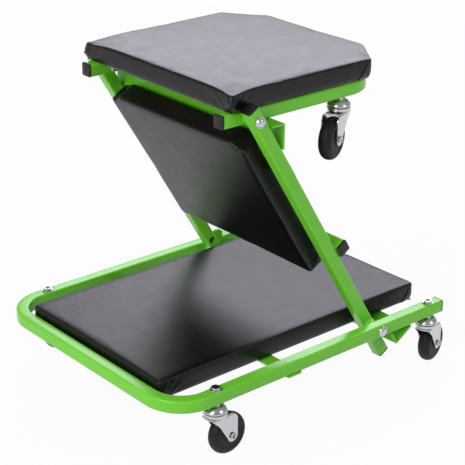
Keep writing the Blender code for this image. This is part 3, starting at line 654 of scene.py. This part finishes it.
class CREEPER_OT_seat_frame(bpy.types.Operator):
    """Seat U of square tube with its leg caps, upper stop angle and welds"""
    bl_idname = "creeper.seat_frame"
    bl_label = "Seat frame"

    def execute(self, context):
        low, high = extent("seat_frame", SEAT)
        angle_low, angle_high = extent("seat_stop_angle", SEAT)
        leg = high.y - HALF_TUBE
        bm = bmesh.new()
        turned = SEAT @ at((high.x, 0, 0), math.pi, "Z")
        tube(bm, bent_path(high.y - low.y, high.x - low.x), turned, flats=4)
        for _, side in SIDES:
            weld_across(bm, angle_low.x - 0.0004, side * leg, -HALF_TUBE - 0.0006, TUBE_BEAD, SEAT)
        piece("seat_tube", bm, ["coat"], "seat", "seat_frame")
        bm = bmesh.new()
        section = angle_section(angle_low.z, angle_high.z, angle_low.x, angle_high.x)
        bar(bm, section, angle_low.y, angle_high.y, SEAT, ANGLE_EDGE)
        piece("upper_stop_angle", bm, ["coat"], "seat", "seat_stop_angle")
        for name, side in SIDES:
            end = SEAT @ at((low.x, side * leg, 0), -math.pi / 2, "Y")
            cap_piece(f"seat_end_cap_{name}", "seat", f"seat_leg_cap_{name}", end)
        return {"FINISHED"}


# ---------------------------------------------------------------- hinges and casters

# Turned shapes as radius and height
BOLT_HEAD = mm((3.9, 0.3), (8.5, 0.3), (8.45, 1.0), (8.1, 1.4), (7.0, 1.6), (6.8, 2.1), (6.3, 3.1),
               (5.3, 4.0), (3.8, 4.6), (1.8, 5.0))
HEAD_HEIGHT, HINGE_NUT, LOCK_COLLAR = 0.0051, 0.013, 0.0018
LOWER_RACE = mm((6.0, -18.8), (16.2, -18.8), (17.0, -18.2), (17.25, -17.2), (17.25, -14.6), (17.0, -13.8),
                (16.2, -13.4), (15.0, -13.4), (14.4, -14.0), (6.0, -14.0))
UPPER_RACE = mm((5.0, -12.8), (15.8, -12.8), (16.8, -12.4), (17.25, -11.6), (17.1, -10.4), (16.6, -9.2),
                (15.7, -7.8), (14.6, -6.4), (13.4, -5.2), (12.2, -4.2), (11.0, -3.6), (9.8, -3.3),
                (5.0, -3.3))
KING_PIN = mm((2.0, -22.8), (5.2, -22.6), (7.0, -21.7), (7.5, -20.9), (4.9, -20.8), (4.9, -12.0))
WASHER = mm((4.5, 0.3), (8.3, 0.3), (8.5, 0.6), (8.5, 1.4), (8.2, 1.7), (4.5, 1.7))
AXLE_END = mm((3.0, 0), (3.0, 14.3), (5.0, 14.3), (5.25, 14.9), (5.0, 15.8), (4.2, 16.4), (3.4, 16.3),
              (2.7, 15.5), (2.4, 14.2), (2.4, 13.0), (1.0, 13.0))
WHEEL_SIDE = mm((3.3, 11.7), (8.0, 11.7), (9.0, 11.2), (9.6, 10.0), (14.0, 9.8), (20.0, 9.9), (21.2, 10.4),
                (23.6, 10.4), (25.2, 10.0), (27.2, 8.9), (29.0, 7.3), (30.3, 5.4), (31.1, 3.2), (31.5, 1.0))
# Fork cheek's front edge, from under the crown to the axle: height and place along the trail
FORK_FRONT = mm((-23.0, -13.5), (-26.2, -10.5), (-30.0, -6.0), (-35.2, -1.7), (-42.0, 2.5), (-48.6, 6.4),
                (-53.0, 9.4), (-58.5, 12.8))
FORK_BACK, FORK_SHEET = 0.0310, 0.002
TRAIL, AXLE_Z, EAR = 0.0217, -0.0558, 0.0093
THREAD_PITCH = 0.00125


class CREEPER_OT_hinges(bpy.types.Operator):
    """Dome-headed hinge bolts and their lock nuts, at both pivots"""
    bl_idname = "creeper.hinges"
    bl_label = "Hinge bolts"

    def execute(self, context):
        for level, body, pivot in (("lower", "base", LOWER), ("upper", "mid", UPPER)):
            for name, side in SIDES:
                low, high = extent(f"{level}_bolt_{name}")
                tip, face = (low.y, high.y - HEAD_HEIGHT) if side > 0 else (high.y, low.y + HEAD_HEIGHT)
                end = side * (tip - face)
                bm = bmesh.new()
                lathe(bm, [(0.0030, end), (0.0039, end + 0.001)] + BOLT_HEAD,
                      at((pivot.x, face, pivot.z), -side * math.pi / 2), steps=40)
                piece(f"{level}_hinge_bolt_{name}", bm, ["zinc"], body, f"{level}_bolt_{name}")
                low, high = extent(f"{level}_nut_{name}")
                axes = at((pivot.x, high.y if side > 0 else low.y, pivot.z), side * math.pi / 2)
                bm = bmesh.new()
                hex_nut(bm, HINGE_NUT, 0, high.y - low.y, axes, lock=LOCK_COLLAR)
                piece(f"{level}_hinge_nut_{name}", bm, ["zinc"], body, f"{level}_nut_{name}")
        return {"FINISHED"}


def fork_grid():
    """Middle surface of the pressed fork as rows of points: up one cheek, over the crown, down the other."""
    half, bend, crown, crown_radius = 0.0130, 0.0036, -0.0195, 0.0170

    def shoulder(z):
        return FORK_BACK - 0.0085 * max(0, 1 + (z - crown) / 0.011) ** 2

    def cheek(z):
        ear = math.sqrt(max(0, EAR ** 2 - (z - AXLE_Z) ** 2))
        front, back = TRAIL - ear, TRAIL + ear if z < AXLE_Z else shoulder(z)
        for (za, xa), (zb, xb) in zip(FORK_FRONT, FORK_FRONT[1:]):
            if z >= zb and z > FORK_FRONT[-1][0]:
                return xb + (xa - xb) * min(1, (z - zb) / (za - zb)), back
        return front, back

    side = [AXLE_Z - EAR * math.cos(math.pi / 2 * step / 8) * 0.999 for step in range(9)]
    side += [AXLE_Z + (crown - bend - AXLE_Z) * i / 18 for i in range(1, 19)]
    path = [(-half, z) for z in side] + arc(bend - half, crown - bend, bend, math.pi, math.pi / 2, 6)[1:]
    over = [(-half + bend + 2 * (half - bend) * i / 8, crown) for i in range(1, 8)]
    rows = []
    for y, z in path + over + [(-y, z) for y, z in reversed(path)]:
        if z < crown - bend + 1e-6:
            front, back = cheek(z)
        else:
            front, back = -math.sqrt(crown_radius ** 2 - min(abs(y), half - bend) ** 2), shoulder(z)
        rows.append([(front + (back - front) * i / 14, y, z) for i in range(15)])
    return rows


def add_fork(bm, axes):
    """Pressed sheet fork with its lower race."""
    sheet = bmesh.new()
    rows = [[sheet.verts.new(point) for point in row] for row in fork_grid()]
    for first, second in zip(rows, rows[1:]):
        for i in range(len(first) - 1):
            sheet.faces.new((first[i], first[i + 1], second[i + 1], second[i]))
    bmesh.ops.remove_doubles(sheet, verts=sheet.verts, dist=0.00002)
    bmesh.ops.recalc_face_normals(sheet, faces=sheet.faces)
    bmesh.ops.solidify(sheet, geom=sheet.faces[:], thickness=FORK_SHEET)
    reach = [v.co.y for v in sheet.verts]
    sheet.transform(axes @ at((0, -(min(reach) + max(reach)) / 2, 0)))
    mesh = bpy.data.meshes.new("fork_sheet")
    sheet.to_mesh(mesh)
    sheet.free()
    bm.from_mesh(mesh)
    bpy.data.meshes.remove(mesh)
    lathe(bm, LOWER_RACE, axes, steps=48)


def add_stem(bm, axes, through):
    """Lock nut, domed upper race, king pin and threaded stem; a washer and nut where it goes through."""
    hex_nut(bm, 0.014, -0.0033, -0.0003, axes)
    lathe(bm, UPPER_RACE, axes, steps=48)
    lathe(bm, KING_PIN, axes, steps=24)
    if through:
        lathe(bm, WASHER, axes @ at((0, 0, TUBE)), steps=40)
        hex_nut(bm, 0.013, TUBE + 0.0017, TUBE + 0.0051, axes)
        top = TUBE + 0.0057
    else:
        hex_nut(bm, 0.0125, 0.0018, 0.0052, axes)
        top = 0.0058
    z = top - 0.0036
    profile = [(0.0038, -0.0005), (0.0038, z)]
    while z < top - 0.0008:
        profile += [(0.0034, z + 0.0003), (0.0040, z + 0.0009)]
        z += THREAD_PITCH
    profile += [(0.0034, top - 0.0002), (0.0028, top), (0.0010, top)]
    lathe(bm, profile, axes, steps=24, paint=1)


class CREEPER_OT_casters(bpy.types.Operator):
    """Six swivel casters: stem and races, pressed fork, tubular axle rivet and wheel"""
    bl_idname = "creeper.casters"
    bl_label = "Casters"

    def execute(self, context):
        for place in [f"{end}_{name}" for end in ("front", "back", "seat") for name, _ in SIDES]:
            on_seat = place.startswith("seat")
            stem, hub = (Vector(JOINTS[f"{kind}_{place}"]["pos_m"]) for kind in ("swivel", "roll"))
            stem.z = SEAT_UNDERSIDE if on_seat else UNDERSIDE
            trail = hub - stem
            axes = at(stem, math.atan2(trail.y, trail.x), "Z")
            bm = bmesh.new()
            add_stem(bm, axes, not on_seat)
            body = "seat" if on_seat else "base"
            piece(f"stem_{place}", bm, ["zinc", "thread"], body, f"caster_stem_{place}")
            bm = bmesh.new()
            add_fork(bm, axes)
            piece(f"fork_{place}", bm, ["zinc"], f"swivel_{place}", f"caster_fork_{place}")
            spin = axes @ at((TRAIL, 0, AXLE_Z), math.pi / 2)
            bm = bmesh.new()
            for turn in (0, math.pi):
                lathe(bm, AXLE_END, spin @ at((0, 0, 0), turn))
            piece(f"axle_{place}", bm, ["zinc"], f"swivel_{place}", f"caster_axle_{place}")
            bm = bmesh.new()
            profile = WHEEL_SIDE + [(r, -z) for r, z in reversed(WHEEL_SIDE)]
            lathe(bm, profile, spin, steps=72, hoop=True)
            piece(f"wheel_tyre_{place}", bm, ["rubber"], f"wheel_{place}", f"caster_wheel_{place}", angle=50)
        return {"FINISHED"}


# ---------------------------------------------------------------- pads

PADS = ("base", "mid", "seat")
# How far the seat pad's cut corners reach along it and across it
CHAMFER_X, CHAMFER_Y = 0.046, 0.062
BOARD = 0.009
PRESSURE, SWELL_FRAMES, FILL = 1.5, 20, 0.8
# The middle pad's upper end reaches up where it is this near the middle line, and fades in over these lengths
REACH_HALF, REACH_FADE, REACH_LENGTH = 0.139, 0.012, 0.05
# How far the seat pad's pulled corners spread: right and left pull, and the ears
PULL_SPANS, EAR_SPAN = (0.025, 0.045), 0.008
SEAT_CROWN = 2.5


def pad_axes(name):
    """Axes of a pad lying flat: Z out of its cushion, z = 0 at the board's underside."""
    return {"base": BASE @ at((0, 0, UNDERSIDE)), "mid": MID @ at((HALF_TUBE, 0, 0), -math.pi / 2, "Y"),
            "seat": SEAT @ at((0, 0, HALF_TUBE + TOUCH))}[name]


def pad_height(name):
    """Height of a pad at its edges."""
    sizes = bpy.context.scene.creeper_sizes
    return {"base": sizes.pad_edge, "mid": sizes.mid_pad_edge, "seat": sizes.seat_pad_edge}[name]


def pad_corners(name):
    """Corners of a pad seen from above, counter-clockwise. The seat's pad loses its two front corners."""
    low, high = extent(f"{name}_cushion", pad_axes(name))
    if name != "seat":
        return [(low.x, low.y), (high.x, low.y), (high.x, high.y), (low.x, high.y)]
    return [(low.x, low.y), (high.x - CHAMFER_X, low.y), (high.x, low.y + CHAMFER_Y),
            (high.x, high.y - CHAMFER_Y), (high.x - CHAMFER_X, high.y), (low.x, high.y)]


def outline(corners, inset, draw, radius):
    """A convex outline moved inwards, with round corners and sides drawn in between them, as close points."""
    points = [Vector(c) for c in corners]
    count = len(points)
    along = [(points[(i + 1) % count] - points[i]).normalized() for i in range(count)]
    inward = [Vector((-d.y, d.x)) for d in along]
    radius = max(radius - inset, radius / 4)
    arcs = []
    for i in range(count):
        turn = -along[i - 1].angle_signed(along[i])
        lean = (inward[i - 1] + inward[i]).normalized()
        centre = points[i] + lean * ((inset + radius) / lean.dot(inward[i]))
        first = math.atan2(-inward[i - 1].y, -inward[i - 1].x)
        arcs.append([Vector(point) for point in arc(*centre, radius, first, first + turn, 12)])
    line = []
    for i in range(count):
        line += arcs[i]
        first, last = arcs[i][-1], arcs[(i + 1) % count][0]
        steps = max(2, round((last - first).length / 0.002))
        pull = draw * min(1, (last - first).length / 0.25)
        for s in range(1, steps):
            share = s / steps
            line.append(first.lerp(last, share) + inward[i] * pull * 4 * share * (1 - share))
    return line


def resampled(line, steps):
    """Evenly spaced points on a line, without its last one."""
    reach = [0]
    for first, second in zip(line, line[1:]):
        reach.append(reach[-1] + (second - first).length)
    points, k = [], 0
    for i in range(steps):
        want = reach[-1] * i / steps
        while reach[k + 1] < want:
            k += 1
        points.append(line[k].lerp(line[k + 1], (want - reach[k]) / max(1e-9, reach[k + 1] - reach[k])))
    return points


def pad_ring(corners, inset, draw, radius, across, down):
    """A pad's outline as a ring of points, split at the four corners of its box."""
    line = outline(corners, inset, draw, radius)
    xs, ys = [p.x for p in line], [p.y for p in line]
    box = [(min(xs), min(ys)), (max(xs), min(ys)), (max(xs), max(ys)), (min(xs), max(ys))]
    starts = [min(range(len(line)), key=lambda k: (line[k] - Vector(c)).length) for c in box]
    points = []
    for i, steps in enumerate((across, down, across, down)):
        first, last = starts[i], starts[(i + 1) % 4]
        side = line[first:last + 1] if first < last else line[first:] + line[:last + 1]
        points += resampled(side, steps)
    return points


def eased(share):
    """A soft step from 0 to 1."""
    share = min(1, max(0, share))
    return share * share * (3 - 2 * share)


def pad_shell(name, bm):
    """A pad's cover before it swells: crowned top, rolled edges, sides, turned-under border, board pocket."""
    sizes = bpy.context.scene.creeper_sizes
    corners = pad_corners(name)
    low, high = extent(f"{name}_cushion", pad_axes(name))
    across, down = (round((high[k] - low[k]) / sizes.pad_grid) for k in (0, 1))
    edge, roll = pad_height(name), sizes.pad_roll
    crown = sizes.pad_crown * (SEAT_CROWN if name == "seat" else 1)
    # Each ring: how far in from the outline, how high, and how much of the draw
    steps = [(0.0073, BOARD + TOUCH, 0), (0.0073, 0.0009, 0), (sizes.wrap, 0.0009, 0), (sizes.wrap, 0, 0),
             (sizes.wrap / 2, 0, 0), (0.0078, 0, 0), (0.0056, 0.0003, 0), (0.0037, 0.0013, 0.2)]
    foot = len(steps)
    steps += [(0.0022, 0.0030, 0.4), (0.0009, 0.0062, 0.7), (0.0002, 0.0105, 1), (0, 0.0165, 1),
              (0, edge - roll, 1)]
    steps += [(roll - x, edge - roll + z, 1) for x, z in arc(0, 0, roll, 0, math.pi / 2, 5)[1:]]
    # Only the seat's square corners are pulled down, the left one further along, and stand out in ears
    ears = list(zip((corners[0], corners[-1]), PULL_SPANS)) if name == "seat" else []

    def tucked(p, z):
        """A point of the cover with its pull at the ears."""
        p = Vector((p.x, p.y, z))
        for corner, span in ears:
            corner = Vector((*corner, z))
            near = (corner - p).length
            out = Vector((-1, math.copysign(1, corner.y), 0)).normalized()
            p.z -= sizes.pad_dip * (z / edge) ** 2 * math.exp(-(near / span) ** 2)
            bulge = math.exp(-(near / EAR_SPAN) ** 2) * math.sin(math.pi * min(1, z / edge)) ** 2
            p += out * sizes.pad_ear * bulge
        return p

    rings = []
    for inset, z, draw in steps:
        line = pad_ring(corners, inset, draw * sizes.pad_draw, sizes.pad_corner, across, down)
        if name == "mid":
            # Between the seat's legs the upper end reaches further up; its corners keep clear of their caps
            for p in line:
                inside = eased((REACH_HALF - abs(p.y)) / REACH_FADE)
                p.x += sizes.pad_reach * inside * eased(1 - (high.x - p.x) / REACH_LENGTH)
        rings.append([tucked(p, z) for p in line])
    made = skin(bm, rings, ends=False)
    rim, verts = made[-1], {}
    for i in range(across + 1):
        verts[i, 0], verts[i, down] = rim[i], rim[across + down + across - i]
    for j in range(down + 1):
        verts[across, j], verts[0, j] = rim[across + j], rim[(2 * across + 2 * down - j) % len(rim)]
    place = {key: v.co.copy() for key, v in verts.items()}
    for i in range(1, across):
        for j in range(1, down):
            u, v = i / across, j / down
            p = (1 - v) * place[i, 0] + v * place[i, down] + (1 - u) * place[0, j] + u * place[across, j]
            p -= ((1 - u) * (1 - v) * place[0, 0] + u * (1 - v) * place[across, 0]
                  + (1 - u) * v * place[0, down] + u * v * place[across, down])
            rise = crown * (1 - (2 * u - 1) ** 2) * (1 - (2 * v - 1) ** 2)
            verts[i, j] = bm.verts.new(tucked(p, edge + rise))
    for i in range(across):
        for j in range(down):
            bm.faces.new((verts[i, j], verts[i + 1, j], verts[i + 1, j + 1], verts[i, j + 1]))
    return [v for loop in made[:foot] for v in loop]


def swollen(name, bm, held):
    """Blows the cover up like cloth over foam, with its foot held, and returns it with one subdivision."""
    most, scene = bpy.context.scene.creeper_sizes.pad_swell, bpy.context.scene
    bm.verts.index_update()
    pins = [v.index for v in held]
    blown = placed(name, bm)
    blown.vertex_groups.new(name="held").add(pins, 1, "REPLACE")
    cloth = blown.modifiers.new("cover", "CLOTH")
    rules = cloth.settings
    rules.quality, rules.mass, rules.air_damping = 4, 0.35, 2
    rules.tension_stiffness = rules.compression_stiffness = 40
    rules.shear_stiffness, rules.bending_stiffness = 15, 12
    rules.use_pressure, rules.uniform_pressure_force = True, PRESSURE
    rules.vertex_group_mass, rules.pin_stiffness = "held", 1
    rules.effector_weights.gravity = 0
    cloth.collision_settings.use_collision = False
    cloth.point_cache.frame_start, cloth.point_cache.frame_end = 1, SWELL_FRAMES
    for step in range(1, SWELL_FRAMES + 1):
        scene.frame_set(step)
    graph = bpy.context.evaluated_depsgraph_get()
    shape = [v.co.copy() for v in blown.evaluated_get(graph).data.vertices]
    for v, to in zip(blown.data.vertices, shape):
        move = to - v.co
        if move.length > 1e-9:
            v.co += move.normalized() * most * math.tanh(move.length / most)
    blown.modifiers.clear()
    scene.frame_set(1)
    fine = blown.modifiers.new("fine", "SUBSURF")
    fine.levels = fine.render_levels = 1
    result = applied(blown)
    bpy.data.objects.remove(blown)
    made = bmesh.new()
    made.from_mesh(result)
    bpy.data.meshes.remove(result)
    # The pocket's ceiling lies on the board, so it stays one face
    bmesh.ops.holes_fill(made, edges=[e for e in made.edges if e.is_boundary], sides=0)
    return made


def side_of(corners, i, step):
    """Directions along the side from a corner to the next or the last one, and out of that side."""
    along = (Vector(corners[(i + step) % len(corners)]) - Vector(corners[i])).normalized()
    return along, Vector((along.y, -along.x)) * step


def crease(bm, corners, edge):
    """Fine puckers in the sides, fanning out from the foot of each corner."""
    depth, span, most = 0.0007, 0.03, 0.018
    for i, corner in enumerate(corners):
        for k, (step, phase) in enumerate(((-1, 0.7), (1, 2.1))):
            along, out = side_of(corners, i, step)
            for v in bm.verts:
                flat = v.co.xy - Vector(corner)
                reach, off = flat.dot(along), flat.dot(out)
                if not (0.004 < reach < 0.08 and -0.006 < off < 0.006 and 0.002 < v.co.z < edge):
                    continue
                fan = math.atan2(v.co.z, reach)
                strength = math.exp(-((reach - most) / span) ** 2) * math.sin(math.pi * v.co.z / edge)
                ridge = math.sin(fan * 16 + phase + 3 * noise.noise(Vector((reach * 40, i * 3.1 + k, 0))))
                v.co += out.to_3d() * depth * strength * ridge


def pleats(bm, corners, edge):
    """Lays the folded flap of vinyl on one side of each corner, where the cover was tucked round it."""
    width = bpy.context.scene.creeper_sizes.pleat
    # Points up the flap and along it, its narrow width, where it starts and how far it lifts
    high, wide, narrow, begin, lifted = 12, 8, 0.006, 0.003, 0.0015
    tree = BVHTree.FromBMesh(bm)
    for i, corner in enumerate(corners):
        step = 1 if i % 2 == 0 else -1
        along, out = (way.to_3d() for way in side_of(corners, i, step))
        rows = []
        for b in range(high + 1):
            h = b / high
            here = Vector((*corner, 0.0006 + (edge - 0.004) * h))
            foot = narrow + (width - narrow) * (1 - h) ** 0.8
            row = []
            for a in range(wide + 1):
                share = a / wide
                spot = here + along * (begin + (foot - begin) * min(1, share * wide / (wide - 1)))
                hit = tree.ray_cast(spot + out * 0.03, -out)[0] or spot
                lift = (lifted * share ** 0.7 - 0.0002) * min(1, (1 - h) * 3)
                # The flap's free edges dip into the cover
                row.append(hit + out * (-0.0004 if a == wide or b == high else lift))
            rows.append([bm.verts.new(p) for p in row])
        for first, second in zip(rows, rows[1:]):
            for a in range(wide):
                bm.faces.new((first[a], first[a + 1], second[a + 1], second[a])[::step])


class CREEPER_OT_pads(bpy.types.Operator):
    """Three pads: vinyl over foam, swollen as cloth, with tucked corners"""
    bl_idname = "creeper.pads"
    bl_label = "Pads"

    def execute(self, context):
        for name in PADS:
            bm = bmesh.new()
            bm = swollen(name, bm, pad_shell(name, bm))
            corners = pad_corners(name)
            crease(bm, corners, pad_height(name))
            pleats(bm, corners, pad_height(name))
            bm.transform(pad_axes(name))
            made = piece(f"{name}_pad", bm, ["vinyl"], name, f"{name}_cushion", angle=60, flat=False)
        return {"FINISHED"}


# A staple's section, across it and up
WIRE = mm((0.5, 0), (0.3, -0.1), (-0.3, -0.1), (-0.5, 0), (0, 0.2))


class CREEPER_OT_boards(bpy.types.Operator):
    """Plywood boards in the pads and the staples that hold the vinyl under them"""
    bl_idname = "creeper.boards"
    bl_label = "Boards and staples"

    def execute(self, context):
        sizes = context.scene.creeper_sizes
        for name in PADS:
            axes, corners = pad_axes(name), pad_corners(name)
            loops = []
            for inset, z in ((0.0082, 0.0010), (0.0076, 0.0016), (0.0076, BOARD - 0.0006), (0.0082, BOARD)):
                line = outline(corners, inset, 0, sizes.pad_corner)
                loops.append([(p.x, p.y, z) for p in resampled(line + line[:1], 240)])
            bm = bmesh.new()
            skin(bm, loops, axes)
            piece(f"{name}_plywood", bm, ["plywood"], name, f"{name}_board")
            line = outline(corners, sizes.wrap * 0.72, 0, sizes.pad_corner)
            total = sum((b - a).length for a, b in zip(line, line[1:] + line[:1]))
            spots = resampled(line + line[:1], round(total / sizes.staple_pitch))
            bm = bmesh.new()
            for spot, after in zip(spots, spots[1:] + spots[:1]):
                way = (after - spot).normalized()
                across = Vector((-way.y, way.x))
                loops = []
                for share, z in ((-0.5, 0.0006), (-0.46, -0.0001), (0.46, -0.0001), (0.5, 0.0006)):
                    middle = spot + way * sizes.staple * share
                    loops.append([(*(middle + across * a), z + b) for a, b in WIRE])
                skin(bm, loops, axes)
            piece(f"{name}_staples", bm, ["zinc"], name)
        return {"FINISHED"}


# ---------------------------------------------------------------- stage

# Share of the floor that shows plain white to the eye, so that the rest carries the shadow
WHITE_SHARE = 0.955
SKY = 0.42
FLOOR_HALF = 9
# The camera's place, its turn to the right, tilt down and roll, and its lens
CAMERA = (-1.338951, -1.54724, 1.10280)
YAW, PITCH, ROLL = (math.radians(angle) for angle in (40.96, 23.33, 0.73))
LENS, SENSOR = 112.9, 36


def matt_floor(look):
    """Painted studio floor: even and matt, with the object's soft shadow on white."""
    material, tree, _ = blank("white_studio_floor_matt")
    path = node(tree, "ShaderNodeLightPath")
    seen = path.outputs["Is Camera Ray"]
    for other in ("Is Glossy Ray", "Is Transmission Ray"):
        both = node(tree, "ShaderNodeMath", links={0: seen, 1: path.outputs[other]}, operation="MAXIMUM")
        seen = both.outputs[0]
    share = node(tree, "ShaderNodeMath", {1: WHITE_SHARE}, {0: seen}, operation="MULTIPLY")
    lit = node(tree, "ShaderNodeBsdfDiffuse", {"Color": look.floor})
    white = node(tree, "ShaderNodeEmission", {"Color": (1, 1, 1, 1), "Strength": 1})
    mixed = node(tree, "ShaderNodeMixShader",
                 links={0: share.outputs[0], 1: lit.outputs["BSDF"], 2: white.outputs["Emission"]})
    node(tree, "ShaderNodeOutputMaterial", links={"Surface": mixed.outputs["Shader"]})
    return material


def softbox(name, place, target, width, height, radiance, tint=(1, 1, 1)):
    """A rectangular soft light that faces a point, with the same brightness all over."""
    data = bpy.data.lights.new(name, "AREA")
    data.color = tint[:3]
    data.shape, data.size, data.size_y = "RECTANGLE", width, height
    data.energy = radiance * math.pi * width * height
    lamp = bpy.data.objects.new(name, data)
    bpy.context.scene.collection.objects.link(lamp)
    lamp.location = place
    lamp.rotation_euler = (Vector(target) - Vector(place)).to_track_quat("-Z", "Y").to_euler()


class CREEPER_OT_stage(bpy.types.Operator):
    """Pale floor, soft light and the camera"""
    bl_idname = "creeper.stage"
    bl_label = "Stage"

    def execute(self, context):
        scene, look = context.scene, context.scene.creeper_finishes
        scene.view_settings.view_transform = "Standard"
        bm = bmesh.new()
        bmesh.ops.create_grid(bm, x_segments=8, y_segments=8, size=FLOOR_HALF)
        floor = placed("floor", bm)
        floor.data.materials.append(matt_floor(look))
        world = bpy.data.worlds.new("soft_studio")
        world.use_nodes = True
        world.node_tree.nodes.clear()
        sky = node(world.node_tree, "ShaderNodeBackground", {"Color": (1, 1, 1, 1), "Strength": SKY})
        node(world.node_tree, "ShaderNodeOutputWorld", links={"Surface": sky.outputs["Background"]})
        scene.world = world
        softbox("back_softbox", (1.97, 1.62, 1.80), (0, 0, 0.4), 2.5, 1.4, 4.45, look.back_light)
        softbox("key_softbox", (-2.2, -0.4, 1.5), (0, 0, 0.2), 1.6, 1.6, 4.9)
        softbox("near_softbox", (0.9, -2.4, 1.7), (0, 0, 0.2), 1.2, 1.0, 2.6)
        data = bpy.data.cameras.new("camera")
        data.lens, data.sensor_width = LENS, SENSOR
        camera = bpy.data.objects.new("camera", data)
        scene.collection.objects.link(camera)
        tilt = Matrix.Rotation(math.pi / 2 - PITCH, 4, "X") @ Matrix.Rotation(ROLL, 4, "Z")
        camera.matrix_world = at(CAMERA, -YAW, "Z") @ tilt
        scene.camera = camera
        return {"FINISHED"}


# ---------------------------------------------------------------- add-on

OPERATORS = (CREEPER_OT_stage, CREEPER_OT_base_frame, CREEPER_OT_middle_frame, CREEPER_OT_seat_frame,
             CREEPER_OT_hinges, CREEPER_OT_casters, CREEPER_OT_pads, CREEPER_OT_boards)


class CREEPER_PT_panel(bpy.types.Panel):
    """Lists the steps that dress the creeper, and its sizes and colours"""
    bl_idname = "CREEPER_PT_panel"
    bl_label = "Mechanic creeper"
    bl_space_type = "VIEW_3D"
    bl_region_type = "UI"
    bl_category = "Creeper"

    def draw(self, context):
        for step in OPERATORS:
            self.layout.operator(step.bl_idname)
        for group in (context.scene.creeper_sizes, context.scene.creeper_finishes):
            for key in group.bl_rna.properties.keys():
                if key not in ("name", "rna_type"):
                    self.layout.prop(group, key)


CLASSES = (CreeperSizes, CreeperFinishes, *OPERATORS, CREEPER_PT_panel)


def register():
    for each in CLASSES:
        bpy.utils.register_class(each)
    bpy.types.Scene.creeper_sizes = bpy.props.PointerProperty(type=CreeperSizes)
    bpy.types.Scene.creeper_finishes = bpy.props.PointerProperty(type=CreeperFinishes)


def unregister():
    del bpy.types.Scene.creeper_finishes
    del bpy.types.Scene.creeper_sizes
    for each in reversed(CLASSES):
        bpy.utils.unregister_class(each)


def main():
    register()
    for step in OPERATORS:
        group, name = step.bl_idname.split(".")
        getattr(getattr(bpy.ops, group), name)()


if __name__ == "__main__":
    main()
